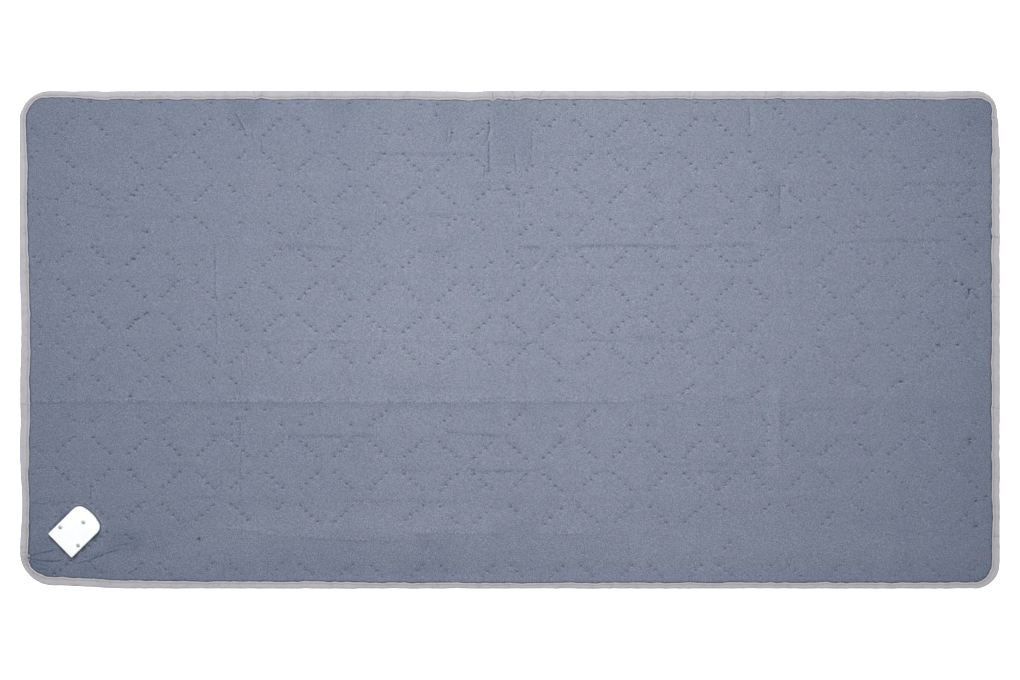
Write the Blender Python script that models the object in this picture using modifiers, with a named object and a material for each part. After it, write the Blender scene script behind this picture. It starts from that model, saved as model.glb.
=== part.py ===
"""Electric heated blanket, laid out flat.

A sheet of bonded fleece is bound all round with a folded tape, and a moulded inlet housing is
screwed on near one corner. Units are metres, +Z is up. The origin is on the ground under the
middle of the blanket, +X runs along its length, and the housing is at the -X, -Y corner.
"""

import math
from collections import namedtuple

import bmesh
import bpy
from mathutils import Matrix, Vector

# Driving dimensions
LENGTH = 1.600  # over the binding, along X
WIDTH = 0.813  # over the binding, along Y
CLEARANCE = 0.0003  # between neighbouring pieces

# Outline of the finished edge, anticlockwise from the near right corner
Corner = namedtuple("Corner", "side_x side_y radius")
CORNERS = (
    Corner(+1, -1, 0.042),
    Corner(+1, +1, 0.035),
    Corner(-1, +1, 0.050),
    Corner(-1, -1, 0.056),
)
ARC_STEPS = 6
SIDE_STEP = 0.080

# Where the binding draws a side in from straight: distance along the side, and inwards
Pull = namedtuple("Pull", "along inwards")
SIDE_PULLS = {
    "left": (
        Pull(-0.350, 0.0008),
        Pull(-0.278, 0.0040),
        Pull(-0.180, 0.0),
        Pull(-0.131, 0.0012),
        Pull(-0.090, 0.0008),
        Pull(+0.025, 0.0029),
        Pull(+0.110, 0.0),
    ),
    "right": (Pull(+0.295, 0.0), Pull(+0.345, 0.0018), Pull(+0.375, 0.0045)),
    "near": (Pull(-0.740, 0.0050), Pull(-0.620, 0.0)),
    "far": (
        Pull(-0.780, 0.0),
        Pull(-0.700, 0.0008),
        Pull(-0.400, 0.0),
        Pull(-0.150, 0.0),
        Pull(-0.065, 0.0016),
        Pull(-0.020, 0.0),
        Pull(+0.300, 0.0),
        Pull(+0.700, 0.0008),
        Pull(+0.780, 0.0),
    ),
}

# Edge binding: a tape folded round the edge, U-shaped in section
TAPE_WIDTH = 0.0135  # on each face of the blanket
TAPE_THICKNESS = 0.0008
TAPE_FOLD_RADIUS = 0.0012

# Fleece panel, squeezed thinner where the tape grips it
PANEL_THICKNESS = 0.0040
GRIPPED_THICKNESS = 0.0024
GRIPPED_WIDTH = TAPE_WIDTH + 0.0020
EASE_WIDTH = 0.0070  # from the gripped edge to full thickness

# Creases left by folding the blanket away: the axis each one crosses, its place on that axis,
# where it starts and ends, and how far it stands up or, if negative, sinks
Crease = namedtuple("Crease", "crosses at start end rise")
CREASES = (
    Crease("x", -0.413, +0.240, +0.365, -0.0009),
    Crease("x", -0.481, -0.012, +0.163, -0.0007),
    Crease("x", -0.437, -0.272, -0.030, -0.0008),
    Crease("x", -0.033, +0.253, +0.365, -0.0009),
    Crease("x", +0.018, +0.200, +0.340, +0.0007),
    Crease("x", +0.440, +0.170, +0.350, -0.0006),
    Crease("x", +0.432, -0.310, +0.000, +0.0008),
    Crease("y", +0.152, -0.400, -0.260, -0.0006),
    Crease("y", +0.152, +0.050, +0.420, -0.0008),
    Crease("y", +0.164, +0.510, +0.710, -0.0006),
    Crease("y", +0.000, -0.290, +0.340, -0.0006),
    Crease("y", -0.104, -0.740, +0.420, +0.0008),
    Crease("y", -0.310, -0.480, +0.150, +0.0008),
)
CREASE_HALF_WIDTH = 0.012
CREASE_FADE = 0.040  # length over which a crease dies away at each end
CLOSEST_CUTS = 0.005

# Inlet housing: D-shaped, its straight end with the plug's slot facing the near left corner
HOUSING_END = Vector((-0.7325, -0.3358))  # middle of the straight end
HOUSING_ANGLE = math.radians(44.5)  # from +X to its length
HOUSING_LENGTH = 0.0735
HOUSING_WIDTH = 0.0547
HOUSING_HEIGHT = 0.0090
HOUSING_CORNER_RADIUS = 0.0130
HOUSING_NOSE_RADIUS = 0.0600
HOUSING_EDGE_RADIUS = 0.0012
SEAT_TOP = 0.0032  # the fleece is pressed down to this under the housing
SEAT_MARGIN = 0.0008
HOUSING_BASE = SEAT_TOP + CLEARANCE

# Slot in the housing's straight end, blind
SLOT_WIDTH = 0.0340
SLOT_HEIGHT = 0.0054
SLOT_DEPTH = 0.0140

# Screws: distance from the straight end, and across from the housing's centre line
Screw = namedtuple("Screw", "along across")
SCREWS = (Screw(0.0217, +0.0208), Screw(0.0217, -0.0208), Screw(0.0542, 0.0))
SCREW_HEAD_RADIUS = 0.0029
SCREW_HEAD_HEIGHT = 0.0014
SCREW_SHANK_RADIUS = 0.0013
SCREW_SUNK = 0.0006  # top of the head below the housing's top
SCREW_TIP = 0.0012  # height of the tip, inside the fleece
ROUND_STEPS = 24


def srgb(red, green, blue):
    """A colour given in 0 to 255 as seen, in the linear values that a shader takes."""
    return tuple(((part / 255 + 0.055) / 1.055) ** 2.4 for part in (red, green, blue)) + (1.0,)


def material(name, colour, roughness, metallic=0.0):
    made = bpy.data.materials.new(name)
    made.use_nodes = True
    shader = made.node_tree.nodes["Principled BSDF"]
    shader.inputs["Base Color"].default_value = colour
    shader.inputs["Roughness"].default_value = roughness
    shader.inputs["Metallic"].default_value = metallic
    return made


def clear_scene():
    for obj in list(bpy.data.objects):
        bpy.data.objects.remove(obj, do_unlink=True)


def collection(name, hidden=False):
    made = bpy.data.collections.new(name)
    made.hide_render = hidden
    bpy.context.scene.collection.children.link(made)
    return made


def helper(obj):
    """Marks a cutter or guide, which is no part of the blanket."""
    obj.hide_render = True
    obj.display_type = "WIRE"
    return obj


# ---- outline -------------------------------------------------------------------------------


def drawn_in(side, along):
    """How far a side is pulled inwards at a distance along it, eased from pull to pull."""
    pulls = SIDE_PULLS[side]
    for low, high in zip(pulls, pulls[1:]):
        if low.along <= along <= high.along:
            share = (along - low.along) / (high.along - low.along)
            ease = (1 - math.cos(math.pi * share)) / 2
            return low.inwards + (high.inwards - low.inwards) * ease
    return pulls[0].inwards if along < pulls[0].along else pulls[-1].inwards


def settled(x, y):
    """Where a point of the straight-sided blanket lies once its sides are drawn in."""
    end_pull = drawn_in("right" if x > 0 else "left", y)
    side_pull = drawn_in("far" if y > 0 else "near", x)
    return x * (1 - end_pull / (LENGTH / 2)), y * (1 - side_pull / (WIDTH / 2))


def rounded_rectangle(inset):
    """Points round the straight-sided blanket, anticlockwise, inset from the finished edge."""
    arcs = []
    for number, corner in enumerate(CORNERS):
        radius = corner.radius - inset
        centre_x = corner.side_x * (LENGTH / 2 - corner.radius)
        centre_y = corner.side_y * (WIDTH / 2 - corner.radius)
        angles = [math.pi / 2 * (number - 1 + step / ARC_STEPS) for step in range(ARC_STEPS + 1)]
        arcs.append(
            [(centre_x + radius * math.cos(a), centre_y + radius * math.sin(a)) for a in angles]
        )
    points = []
    for arc, following in zip(arcs, arcs[1:] + arcs[:1]):
        start, end = Vector(arc[-1]), Vector(following[0])
        spaces = round((end - start).length / SIDE_STEP)
        points += arc
        points += [tuple(start.lerp(end, n / spaces)) for n in range(1, spaces)]
    return points


# ---- fleece panel --------------------------------------------------------------------------


def crease_height(x, y):
    """The height that the creases add at a point: a tent across each one, faded at its ends."""
    height = 0.0
    for crease in CREASES:
        across, along = (x, y) if crease.crosses == "x" else (y, x)
        tent = max(0.0, 1 - abs(across - crease.at) / CREASE_HALF_WIDTH)
        to_end = min(along - crease.start, crease.end - along)
        height += crease.rise * tent * min(1.0, max(0.0, to_end / CREASE_FADE))
    return height


def crease_cuts(axis):
    """Places along an axis where the panel's faces are cut, so that they can follow the creases."""
    wanted = []
    for crease in CREASES:
        if crease.crosses == axis:
            wanted += [crease.at - CREASE_HALF_WIDTH, crease.at, crease.at + CREASE_HALF_WIDTH]
        else:
            wanted += [crease.start, crease.start + CREASE_FADE]
            wanted += [crease.end - CREASE_FADE, crease.end]
    cuts = []
    for place in sorted(wanted):
        if not cuts or place - cuts[-1] > CLOSEST_CUTS:
            cuts.append(place)
    return cuts


def make_panel(parts):
    """The fleece: flat below, eased down to its gripped edge, with shallow creases on top."""
    gripped_top = (PANEL_THICKNESS + GRIPPED_THICKNESS) / 2 + CLEARANCE
    gripped_base = gripped_top - GRIPPED_THICKNESS
    slope = gripped_base / (PANEL_THICKNESS - gripped_top)

    bm = bmesh.new()
    rim = [settled(x, y) for x, y in rounded_rectangle(TAPE_THICKNESS + CLEARANCE)]
    face = bm.faces.new([bm.verts.new((x, y, gripped_top)) for x, y in rim])
    face.normal_update()
    for width in (GRIPPED_WIDTH - TAPE_THICKNESS, EASE_WIDTH):
        bmesh.ops.inset_region(
            bm, faces=[face], thickness=width, use_boundary=True, use_even_offset=True
        )
    for vert in face.verts:
        vert.co.z = PANEL_THICKNESS
    for axis, normal in (("x", (1, 0, 0)), ("y", (0, 1, 0))):
        for place in crease_cuts(axis):
            everything = bm.verts[:] + bm.edges[:] + bm.faces[:]
            on_plane = [place * part for part in normal]
            bmesh.ops.bisect_plane(bm, geom=everything, plane_co=on_plane, plane_no=normal)

    made = bmesh.ops.extrude_face_region(bm, geom=bm.faces[:], use_keep_orig=True)
    top = [item for item in made["geom"] if isinstance(item, bmesh.types.BMVert)]
    for vert in set(bm.verts) - set(top):
        vert.co.z = slope * (PANEL_THICKNESS - vert.co.z)
    for vert in top:
        vert.co.z += crease_height(vert.co.x, vert.co.y)
    bmesh.ops.recalc_face_normals(bm, faces=bm.faces[:])
    mesh = bpy.data.meshes.new("panel")
    bm.to_mesh(mesh)
    bm.free()

    panel = bpy.data.objects.new("panel", mesh)
    parts.objects.link(panel)
    panel.data.materials.append(material("fleece", srgb(139, 147, 165), 0.95))
    return panel


# ---- edge binding --------------------------------------------------------------------------


def poly_curve(name, points, into):
    """A closed flat curve of straight segments."""
    data = bpy.data.curves.new(name, "CURVE")
    data.dimensions = "2D"
    data.fill_mode = "NONE"
    spline = data.splines.new("POLY")
    spline.points.add(len(points) - 1)
    for point, (x, y) in zip(spline.points, points):
        point.co = (x, y, 0, 1)
    spline.use_cyclic_u = True
    obj = bpy.data.objects.new(name, data)
    into.objects.link(obj)
    return obj


def binding_section():
    """The tape's U, clockwise: how far inwards from the blanket's edge, and how high."""
    inside = TAPE_THICKNESS
    height = GRIPPED_THICKNESS + 2 * (TAPE_THICKNESS + CLEARANCE)
    bend = TAPE_FOLD_RADIUS
    chamfer = bend * (1 - math.sqrt(0.5))
    outer_face = [
        (TAPE_WIDTH, 0),
        (bend, 0),
        (chamfer, chamfer),
        (0, bend),
        (0, height - bend),
        (chamfer, height - chamfer),
        (bend, height),
        (TAPE_WIDTH, height),
    ]
    inner_face = [
        (TAPE_WIDTH, height - inside),
        (inside, height - inside),
        (inside, inside),
        (TAPE_WIDTH, inside),
    ]
    return outer_face + inner_face


def make_binding(parts, cutters):
    section = helper(poly_curve("binding_section", binding_section(), cutters))
    path = [settled(x, y) for x, y in rounded_rectangle(0.0)]
    binding = poly_curve("binding", path, parts)
    binding.data.bevel_mode = "OBJECT"
    binding.data.bevel_object = section
    binding.data.materials.append(material("binding_tape", srgb(186, 184, 188), 0.85))
    return binding


# ---- inlet housing -------------------------------------------------------------------------


def housing_outline(margin=0.0):
    """The D, its straight end on the Y axis and its length along +X, grown by a margin."""
    half_width = HOUSING_WIDTH / 2
    corner = HOUSING_CORNER_RADIUS
    nose = HOUSING_NOSE_RADIUS
    side = half_width - corner
    nose_centre = HOUSING_LENGTH - nose
    corner_centre = nose_centre + math.sqrt((nose - corner) ** 2 - side**2)
    meeting = math.asin(side / (nose - corner))

    def arc(centre_x, centre_y, radius, start, end, steps):
        angles = [start + (end - start) * n / steps for n in range(steps + 1)]
        return [
            (centre_x + radius * math.cos(a), centre_y + radius * math.sin(a)) for a in angles
        ]

    quarter = math.pi / 2
    outline = [(-margin, half_width + margin), (-margin, -half_width - margin)]
    outline += arc(corner_centre, -side, corner + margin, -quarter, -meeting, 6)
    outline += arc(nose_centre, 0, nose + margin, -meeting, meeting, 6)[1:-1]
    outline += arc(corner_centre, side, corner + margin, meeting, quarter, 6)
    return outline


def flat_solid(name, outline, low, high, into):
    """A flat outline made solid between two heights, as one welded mesh."""
    curve = poly_curve(name + "_outline", outline, into)
    curve.data.fill_mode = "BOTH"
    curve.data.extrude = (high - low) / 2
    curve.location.z = (high + low) / 2
    bpy.context.view_layer.update()
    graph = bpy.context.evaluated_depsgraph_get()
    mesh = bpy.data.meshes.new_from_object(curve.evaluated_get(graph))
    bm = bmesh.new()
    bm.from_mesh(mesh)
    bmesh.ops.remove_doubles(bm, verts=bm.verts[:], dist=1e-6)
    bmesh.ops.recalc_face_normals(bm, faces=bm.faces[:])
    bm.to_mesh(mesh)
    bm.free()
    mesh.name = name
    solid = bpy.data.objects.new(name, mesh)
    solid.location.z = curve.location.z
    into.objects.link(solid)
    bpy.data.objects.remove(curve)
    return solid


def turned(name, profile, into):
    """A shape turned about its own Z axis from a profile of (radius, height), top to bottom."""
    mesh = bpy.data.meshes.new(name)
    corners = [(radius, 0, height) for radius, height in profile]
    mesh.from_pydata(corners, [(n, n + 1) for n in range(len(corners) - 1)], [])
    obj = bpy.data.objects.new(name, mesh)
    screw = obj.modifiers.new("turn", "SCREW")
    screw.steps = screw.render_steps = ROUND_STEPS
    screw.use_merge_vertices = True
    screw.merge_threshold = 1e-5
    into.objects.link(obj)
    return obj


def cut(target, cutter):
    boolean = target.modifiers.new("cut_" + cutter.name, "BOOLEAN")
    boolean.operation = "DIFFERENCE"
    boolean.object = cutter


def slot_cutter(cutters):
    """A block that runs in from beyond the straight end and stops at the slot's depth."""
    beyond = 0.004
    size = (SLOT_DEPTH + beyond, SLOT_WIDTH, SLOT_HEIGHT)
    middle = ((SLOT_DEPTH - beyond) / 2, 0, HOUSING_BASE + HOUSING_HEIGHT / 2)
    bm = bmesh.new()
    bmesh.ops.create_cube(bm, size=1, matrix=Matrix.LocRotScale(middle, None, size))
    mesh = bpy.data.meshes.new("plug_slot")
    bm.to_mesh(mesh)
    bm.free()
    obj = bpy.data.objects.new("plug_slot", mesh)
    cutters.objects.link(obj)
    return helper(obj)


def screw_profile(clearance):
    """A screw's outline from the top of its head to its tip, grown by a clearance."""
    top = HOUSING_BASE + HOUSING_HEIGHT - SCREW_SUNK
    under_head = top - SCREW_HEAD_HEIGHT
    head = SCREW_HEAD_RADIUS + clearance
    shank = SCREW_SHANK_RADIUS + clearance
    if clearance:
        top += 2 * SCREW_SUNK
    return [
        (0, top),
        (head, top),
        (head, under_head - clearance),
        (shank, under_head - clearance),
        (shank, SCREW_TIP - clearance),
        (0, SCREW_TIP - clearance),
    ]


def make_housing(parts, cutters, panel):
    """The moulded housing and its screws, placed together by one empty at the straight end."""
    place = bpy.data.objects.new("housing_place", None)
    place.location = (HOUSING_END.x, HOUSING_END.y, 0)
    place.rotation_euler.z = HOUSING_ANGLE
    parts.objects.link(place)

    housing_top = HOUSING_BASE + HOUSING_HEIGHT
    housing = flat_solid("inlet_housing", housing_outline(), HOUSING_BASE, housing_top, parts)
    bevel = housing.modifiers.new("moulded_edge", "BEVEL")
    bevel.width = HOUSING_EDGE_RADIUS
    bevel.segments = 3
    bevel.use_clamp_overlap = False
    bevel.limit_method = "ANGLE"
    bevel.angle_limit = math.radians(40)
    housing.data.materials.append(material("housing_plastic", srgb(246, 247, 249), 0.35))

    slot = slot_cutter(cutters)
    cut(housing, slot)
    above = PANEL_THICKNESS * 2
    seat = flat_solid("seat", housing_outline(SEAT_MARGIN), SEAT_TOP, above, cutters)
    cut(panel, helper(seat))
    for piece in (housing, slot, seat):
        piece.parent = place

    steel = material("screw_steel", srgb(178, 178, 180), 0.4, metallic=0.8)
    for number, screw in enumerate(SCREWS, start=1):
        body = turned(f"screw_{number}", screw_profile(0), parts)
        hole = helper(turned(f"screw_{number}_hole", screw_profile(CLEARANCE), cutters))
        body.data.materials.append(steel)
        for piece in (body, hole):
            piece.location = (screw.along, screw.across, 0)
            piece.parent = place
        cut(housing, hole)
        cut(panel, hole)


def main():
    clear_scene()
    parts = collection("electric_heated_blanket")
    cutters = collection("cutters", hidden=True)
    panel = make_panel(parts)
    make_binding(parts, cutters)
    make_housing(parts, cutters, panel)


main()
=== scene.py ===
"""An electric heated blanket, laid out flat with its lead unplugged.

The sections follow the blanket as it is put together: the fleece panel, the tape that binds its
edge, the stitches through the tape, the moulded inlet housing and its screws. The floor, the
light and the camera come last. Lengths are metres, and millimetres where a name or comment says.
"""

import math

import bpy
import numpy as np
from mathutils import Matrix, Vector
from mathutils.geometry import delaunay_2d_cdt
from mathutils.kdtree import KDTree


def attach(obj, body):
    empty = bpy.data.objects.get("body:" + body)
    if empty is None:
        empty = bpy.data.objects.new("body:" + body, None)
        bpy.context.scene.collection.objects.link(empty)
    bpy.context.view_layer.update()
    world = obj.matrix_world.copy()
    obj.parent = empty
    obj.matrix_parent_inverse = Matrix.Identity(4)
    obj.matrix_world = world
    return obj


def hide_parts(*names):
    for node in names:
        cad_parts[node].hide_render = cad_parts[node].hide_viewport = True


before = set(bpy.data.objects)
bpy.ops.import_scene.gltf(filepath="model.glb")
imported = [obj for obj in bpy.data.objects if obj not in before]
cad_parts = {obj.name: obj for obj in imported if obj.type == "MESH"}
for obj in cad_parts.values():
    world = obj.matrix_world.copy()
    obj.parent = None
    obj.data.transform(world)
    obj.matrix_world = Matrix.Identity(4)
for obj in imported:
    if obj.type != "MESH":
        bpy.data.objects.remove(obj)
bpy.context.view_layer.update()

# ---- Fleece panel ---------------------------------------------------------------------------
# Two layers of short-pile polyester fleece with the heating wire laid between them, bonded by
# small weld dots in a diamond pattern. It was stored folded, so creases and matted pile cross it.

MM = 0.001
LENGTH = 1.600
WIDTH = 0.813
CORNERS = ((+1, -1, 0.042), (+1, +1, 0.035), (-1, +1, 0.050), (-1, -1, 0.056))  # side, side, radius

# Where the sewing draws a side in from straight: (place along the side, how far in)
PULLS = {
    "left": (
        (-0.350, 0.0008), (-0.278, 0.0040), (-0.180, 0), (-0.131, 0.0012), (-0.090, 0.0008),
        (0.025, 0.0029), (0.110, 0),
    ),
    "right": ((0.295, 0), (0.345, 0.0018), (0.375, 0.0045)),
    "near": ((-0.740, 0.0050), (-0.620, 0)),
    "far": (
        (-0.780, 0), (-0.700, 0.0008), (-0.400, 0), (-0.150, 0), (-0.065, 0.0016), (-0.020, 0),
        (0.300, 0), (0.700, 0.0008), (0.780, 0),
    ),
}

# How far the tape reaches in over the fleece, round the blanket: (angle in degrees, width)
TAPE_REACH = (
    (-180, 0.0150), (-177.6, 0.0155), (-174, 0.0165), (-170.5, 0.0163), (-167.1, 0.0155),
    (-163.7, 0.0128), (-160.5, 0.0123), (-157.4, 0.0140), (-155, 0.0127), (-154.4, 0.0106),
    (-153.6, 0.0120), (-152.5, 0.0136), (-150, 0.0138), (-141, 0.0119), (-127, 0.0117),
    (-118, 0.0100), (-90, 0.0092), (-70, 0.0098), (-32, 0.0100), (-28, 0.0106), (-27, 0.0120),
    (-25.5, 0.0132), (-22, 0.0126), (-17, 0.0128), (-12, 0.0138), (20, 0.0138), (23, 0.0118),
    (24.6, 0.0096), (25.4, 0.0080), (26.2, 0.0086), (27.2, 0.0118), (29, 0.0138), (90, 0.0147),
    (148, 0.0144), (150.5, 0.0116), (152.5, 0.0100), (155.6, 0.0106), (158.6, 0.0123),
    (161.8, 0.0135), (165, 0.0127), (168.4, 0.0140), (171.8, 0.0155), (175.3, 0.0155),
    (180, 0.0150),
)


def eased(place, stops):
    """The value at a place, easing from stop to stop, each of them a (place, value)."""
    places, values = np.array(stops, float).T
    before = np.clip(np.searchsorted(places, place) - 1, 0, len(places) - 2)
    share = (place - places[before]) / (places[before + 1] - places[before])
    ease = (1 - np.cos(np.pi * np.clip(share, 0, 1))) / 2
    return values[before] + (values[before + 1] - values[before]) * ease


def pull_shares(points):
    """How far each point is drawn in, as a share of its distance from the middle."""
    x, y = points.T
    ends = np.where(x > 0, eased(y, PULLS["right"]), eased(y, PULLS["left"]))
    sides = np.where(y > 0, eased(x, PULLS["far"]), eased(x, PULLS["near"]))
    return 1 - np.column_stack((ends / (LENGTH / 2), sides / (WIDTH / 2)))


def evenly_spaced(line, spacing, least=2):
    """Points along a line, all the same distance apart, and the line's length."""
    steps = np.linalg.norm(np.diff(line, axis=0), axis=1)
    run = np.concatenate(([0], np.cumsum(steps)))
    even = np.linspace(0, run[-1], max(least, round(run[-1] / spacing) + 1))
    return np.column_stack([np.interp(even, run, line[:, axis]) for axis in (0, 1)]), run[-1]


def edge_line(inset, spacing):
    """Points round the blanket, inset from its finished edge, with the way out at each."""
    arcs = []
    for number, (side_x, side_y, radius) in enumerate(CORNERS):
        angles = np.linspace(number - 1, number, 25) * math.pi / 2
        middle = (side_x * (LENGTH / 2 - radius), side_y * (WIDTH / 2 - radius))
        arcs.append(middle + (radius - inset) * np.column_stack((np.cos(angles), np.sin(angles))))
    straight, _ = evenly_spaced(np.vstack(arcs + [arcs[0][:1]]), MM)
    line = evenly_spaced(straight * pull_shares(straight), spacing)[0][:-1]
    along = np.roll(line, -1, axis=0) - np.roll(line, 1, axis=0)
    along /= np.linalg.norm(along, axis=1)[:, None]
    return line, np.column_stack((along[:, 1], -along[:, 0]))


def edge_distance(points):
    """How far inside the finished edge each point lies."""
    x, y = (points / pull_shares(points)).T
    radius = np.zeros(len(points))
    for side_x, side_y, corner_radius in CORNERS:
        radius[(x * side_x >= 0) & (y * side_y >= 0)] = corner_radius
    across = np.abs(x) - (LENGTH / 2 - radius)
    up = np.abs(y) - (WIDTH / 2 - radius)
    beyond = np.hypot(np.maximum(across, 0), np.maximum(up, 0))
    return radius - beyond - np.minimum(np.maximum(across, up), 0)


def tape_reach(points):
    """How far the tape reaches in at each point, before the sewing's small changes."""
    angle = np.degrees(np.arctan2(points[:, 1], points[:, 0]))
    return eased(angle, TAPE_REACH)


def waves(points, size, seed, count=24):
    """Slow unevenness, from -1 to 1, made of waves about as long as the size."""
    chance = np.random.default_rng(seed)
    angles = chance.uniform(0, 2 * math.pi, count)
    lengths = size * chance.uniform(0.6, 1.6, count)
    ways = np.column_stack((np.cos(angles), np.sin(angles))) * (2 * math.pi / lengths)[:, None]
    return np.sin(points @ ways.T + chance.uniform(0, 2 * math.pi, count)).sum(axis=1) / count**0.5


# Puckers, small folds across the tape: place on the edge (mm), how high the fold stands (mm), its
# slant, and how far the inner edge moves there (mm, and how far to each side along the tape)
PUCKERS = (
    (-610, 405, 0.2, 0.3, 0.5, 8), (-417, 405, 0.3, -0.3, 1.0, 6), (-405, 405, 0.3, 0.4, -0.9, 7),
    (-28, 405, 0.4, 0.0, 3.0, 5), (-19, 405, 0.0, 0.0, -1.8, 6), (-4, 405, 0.3, -0.4, 1.2, 7),
    (5, 405, 0.4, -0.4, 1.6, 6), (28, 405, 0.0, 0.0, -1.9, 15), (51, 405, 0.35, 0.5, 1.0, 10),
    (293, 405, 0.3, 0.0, 0.7, 6), (302, 405, 0.3, 0.3, -0.7, 6), (417, 405, 0.3, 0.2, 0.8, 7),
    (437, 405, 0.0, 0.0, -1.1, 9), (799, 363, 0.35, 0.3, 0.8, 7), (800, 186, 0.0, 0.0, -0.8, 8),
    (800, 167, 0.4, 0.2, -1.6, 6), (800, 70, 0.2, 0.0, 0.5, 8), (800, -112, 0.35, 0.2, 0.8, 7),
    (799, -321, 0.3, 0.0, 0.7, 7), (-799, -105, 0.3, 0.2, 0.6, 7), (-797, -347, 0.3, 0.0, -0.6, 5),
    (-797, -354.5, 0.5, 0.0, 4.2, 4.6), (-796, -360, 0.4, 0.0, -1.6, 3.0),
    (-796, -363.6, 0.5, 0.0, 2.9, 2.8), (-793.5, -368.5, 0.3, 0.0, -1.2, 4),
    (-1, -406, 0.3, 0.0, 0.7, 7),
)

# A close line of points round the finished edge, the way out at each, and the run along it
FINE = 0.0005
fine_line, fine_out = edge_line(0.0, FINE)
fine_run = np.arange(len(fine_line)) * FINE


def tree_of(points):
    """A search tree over points on the flat."""
    tree = KDTree(len(points))
    for number, (x, y) in enumerate(points):
        tree.insert((x, y, 0), number)
    tree.balance()
    return tree


fine_tree = tree_of(fine_line)
pucker_runs = [fine_run[fine_tree.find((x * MM, y * MM, 0))[1]] for x, y, *_ in PUCKERS]
PUCKER_ROOM = 0.0080


def waves_along(run, height, size, seed):
    """Slow unevenness along a run, up to about a height."""
    return height * waves(np.column_stack((run, 0 * run)), size, seed)


def tape_wander(run):
    """Small changes in how far the tape reaches in, from the sewing."""
    wander = waves_along(run, 0.0005, 0.05, 21) + waves_along(run, 0.0003, 0.016, 22)
    for (_, _, _, _, shift, half), at in zip(PUCKERS, pucker_runs):
        wander += shift * MM * (1 + np.cos(np.pi * np.clip((run - at) / (half * MM), -1, 1))) / 2
    return wander


fine_reach = tape_reach(fine_line) + tape_wander(fine_run)


def stations(spacing, pucker_spacing):
    """Places in the close line at a spacing, and closer beside the puckers."""
    places = set(range(0, len(fine_line) - 2, round(spacing / FINE)))
    room, step = round(PUCKER_ROOM / FINE), round(pucker_spacing / FINE)
    for pucker_run in pucker_runs:
        middle = round(pucker_run / FINE)
        places = {n for n in places if abs(n - middle) > room}
        places |= set(range(middle - room, middle + room, step))
    return np.array(sorted(n for n in places if 0 <= n < len(fine_line)))


def from_tape(points):
    """How far in from the tape's inner edge each point lies."""
    nearest = [fine_tree.find((x, y, 0))[1] for x, y in points]
    return edge_distance(points) - fine_reach[nearest]


# Weld dots: the rows where the diamonds' sides cross, and the spacing of the crossings (mm)
WELD_ROWS = (
    -408, -355, -312, -260, -206, -155, -103, -53, -2, 49, 102, 156, 208, 261, 316, 369, 422,
)
# How deep the four dots on a side of a diamond are pressed, from its near end up, row by row
FULL = (1.0, 1.0, 1.0, 1.0)
NONE = (0.0, 0.0, 0.0, 0.0)
WELD_ROW_DEPTH = (
    (0.9, 0.6, 0.7, 0.9), NONE, (0.8, 0.8, 0.8, 0.8), (0.7, 0.95, 0.85, 1.0), FULL,
    (0.9, 0.65, 0.0, 0.0), NONE, (0.9, 0.9, 0.9, 1.0), FULL, FULL, FULL, (0.7, 0.8, 0.9, 1.0),
    FULL, FULL, FULL, FULL,
)
# Sides where the weld missed some dots, by row: the side's place (mm), the dots it did press, and
# how far up they have moved (mm)
ODD_SIDES = {
    1: ((-613, "23", 0), (356, "12", -3)),
    2: (
        (-611, "0123", 3), (-441, "0123", 2), (-384, "23", 3), (-327, "0123", 0),
        (-270, "0123", 0), (-213, "", 0), (-156, "0123", 3), (-99, "013", 0), (14, "23", 2),
        (71, "013", -2), (241, "013", 0), (298, "0123", 0), (355, "23", 4), (411, "23", 4),
        (468, "23", 0), (524, "012", -3), (580, "23", 0), (636, "023", 4), (693, "23", 4),
        (750, "01", 0),
    ),
    3: ((-384, "0123", 0), (354, "0123", 0)),
    5: (
        (-444, "013", 0), (-387, "03", 0), (-328, "02", 0), (-271, "0", 0), (-215, "0123", 0),
        (-158, "", 0), (-101, "12", 0), (-45, "", 0), (12, "0123", 3), (125, "0123", 0),
        (182, "0", 0), (239, "03", 0), (295, "0", 0), (352, "0", 0), (575, "023", 0),
        (633, "0", 0), (690, "02", 0), (747, "0", 0),
    ),
    6: (
        (-724, "123", 0), (-667, "023", 0), (-609, "23", 0), (-552, "23", 0), (-496, "23", 0),
        (-441, "23", 0), (66, "3", 0), (295, "012", 0), (408, "012", -5), (519, "23", 0),
        (575, "0123", 0), (631, "012", 0),
    ),
    8: ((462, "3", 0),),
    9: ((462, "1", 0), (747, "", 0)),
    10: (
        (-725, "012", 0), (-668, "0123", 0), (-611, "0123", 0), (-554, "012", 0), (-498, "01", 0),
        (-443, "", 0), (-274, "0123", 0), (-217, "01", 0), (-104, "0123", 0), (-47, "0", 0),
        (461, "0", 3), (747, "", 0),
    ),
    11: (
        (-726, "13", 0), (-669, "3", 0), (-612, "03", 0), (-555, "23", 0), (-499, "123", 0),
        (-444, "2", 0), (-388, "012", 0), (-275, "123", 0), (-218, "0123", 0), (-161, "123", 0),
        (-104, "23", 0), (-47, "123", 0), (9, "", 0), (65, "01", 0), (405, "", 0), (461, "123", 0),
        (746, "", 0),
    ),
    12: (
        (-670, "0123", 0), (-445, "23", 0), (-388, "13", 0), (-47, "0123", -2), (9, "", 3),
        (65, "23", -4), (404, "", -2),
    ),
    13: (
        (-671, "", 0), (-614, "012", 0), (-445, "23", 0), (9, "", -3), (64, "01", -5),
        (403, "3", 0),
    ),
    14: (
        (-614, "2", 0), (-445, "0123", 0), (-333, "123", 0), (-276, "012", -2), (-218, "01", 5),
        (-161, "01", 4), (-104, "", 4), (-47, "0123", -2), (8, "", 0), (64, "", 0), (403, "0", 0),
    ),
}
CROSSING_SPACING = 56.7
CROSSING_START = -245.5
WELDS_ON_SIDE = (0.26, 0.42, 0.58, 0.74)
WELD_RADIUS = 0.0031
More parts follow.
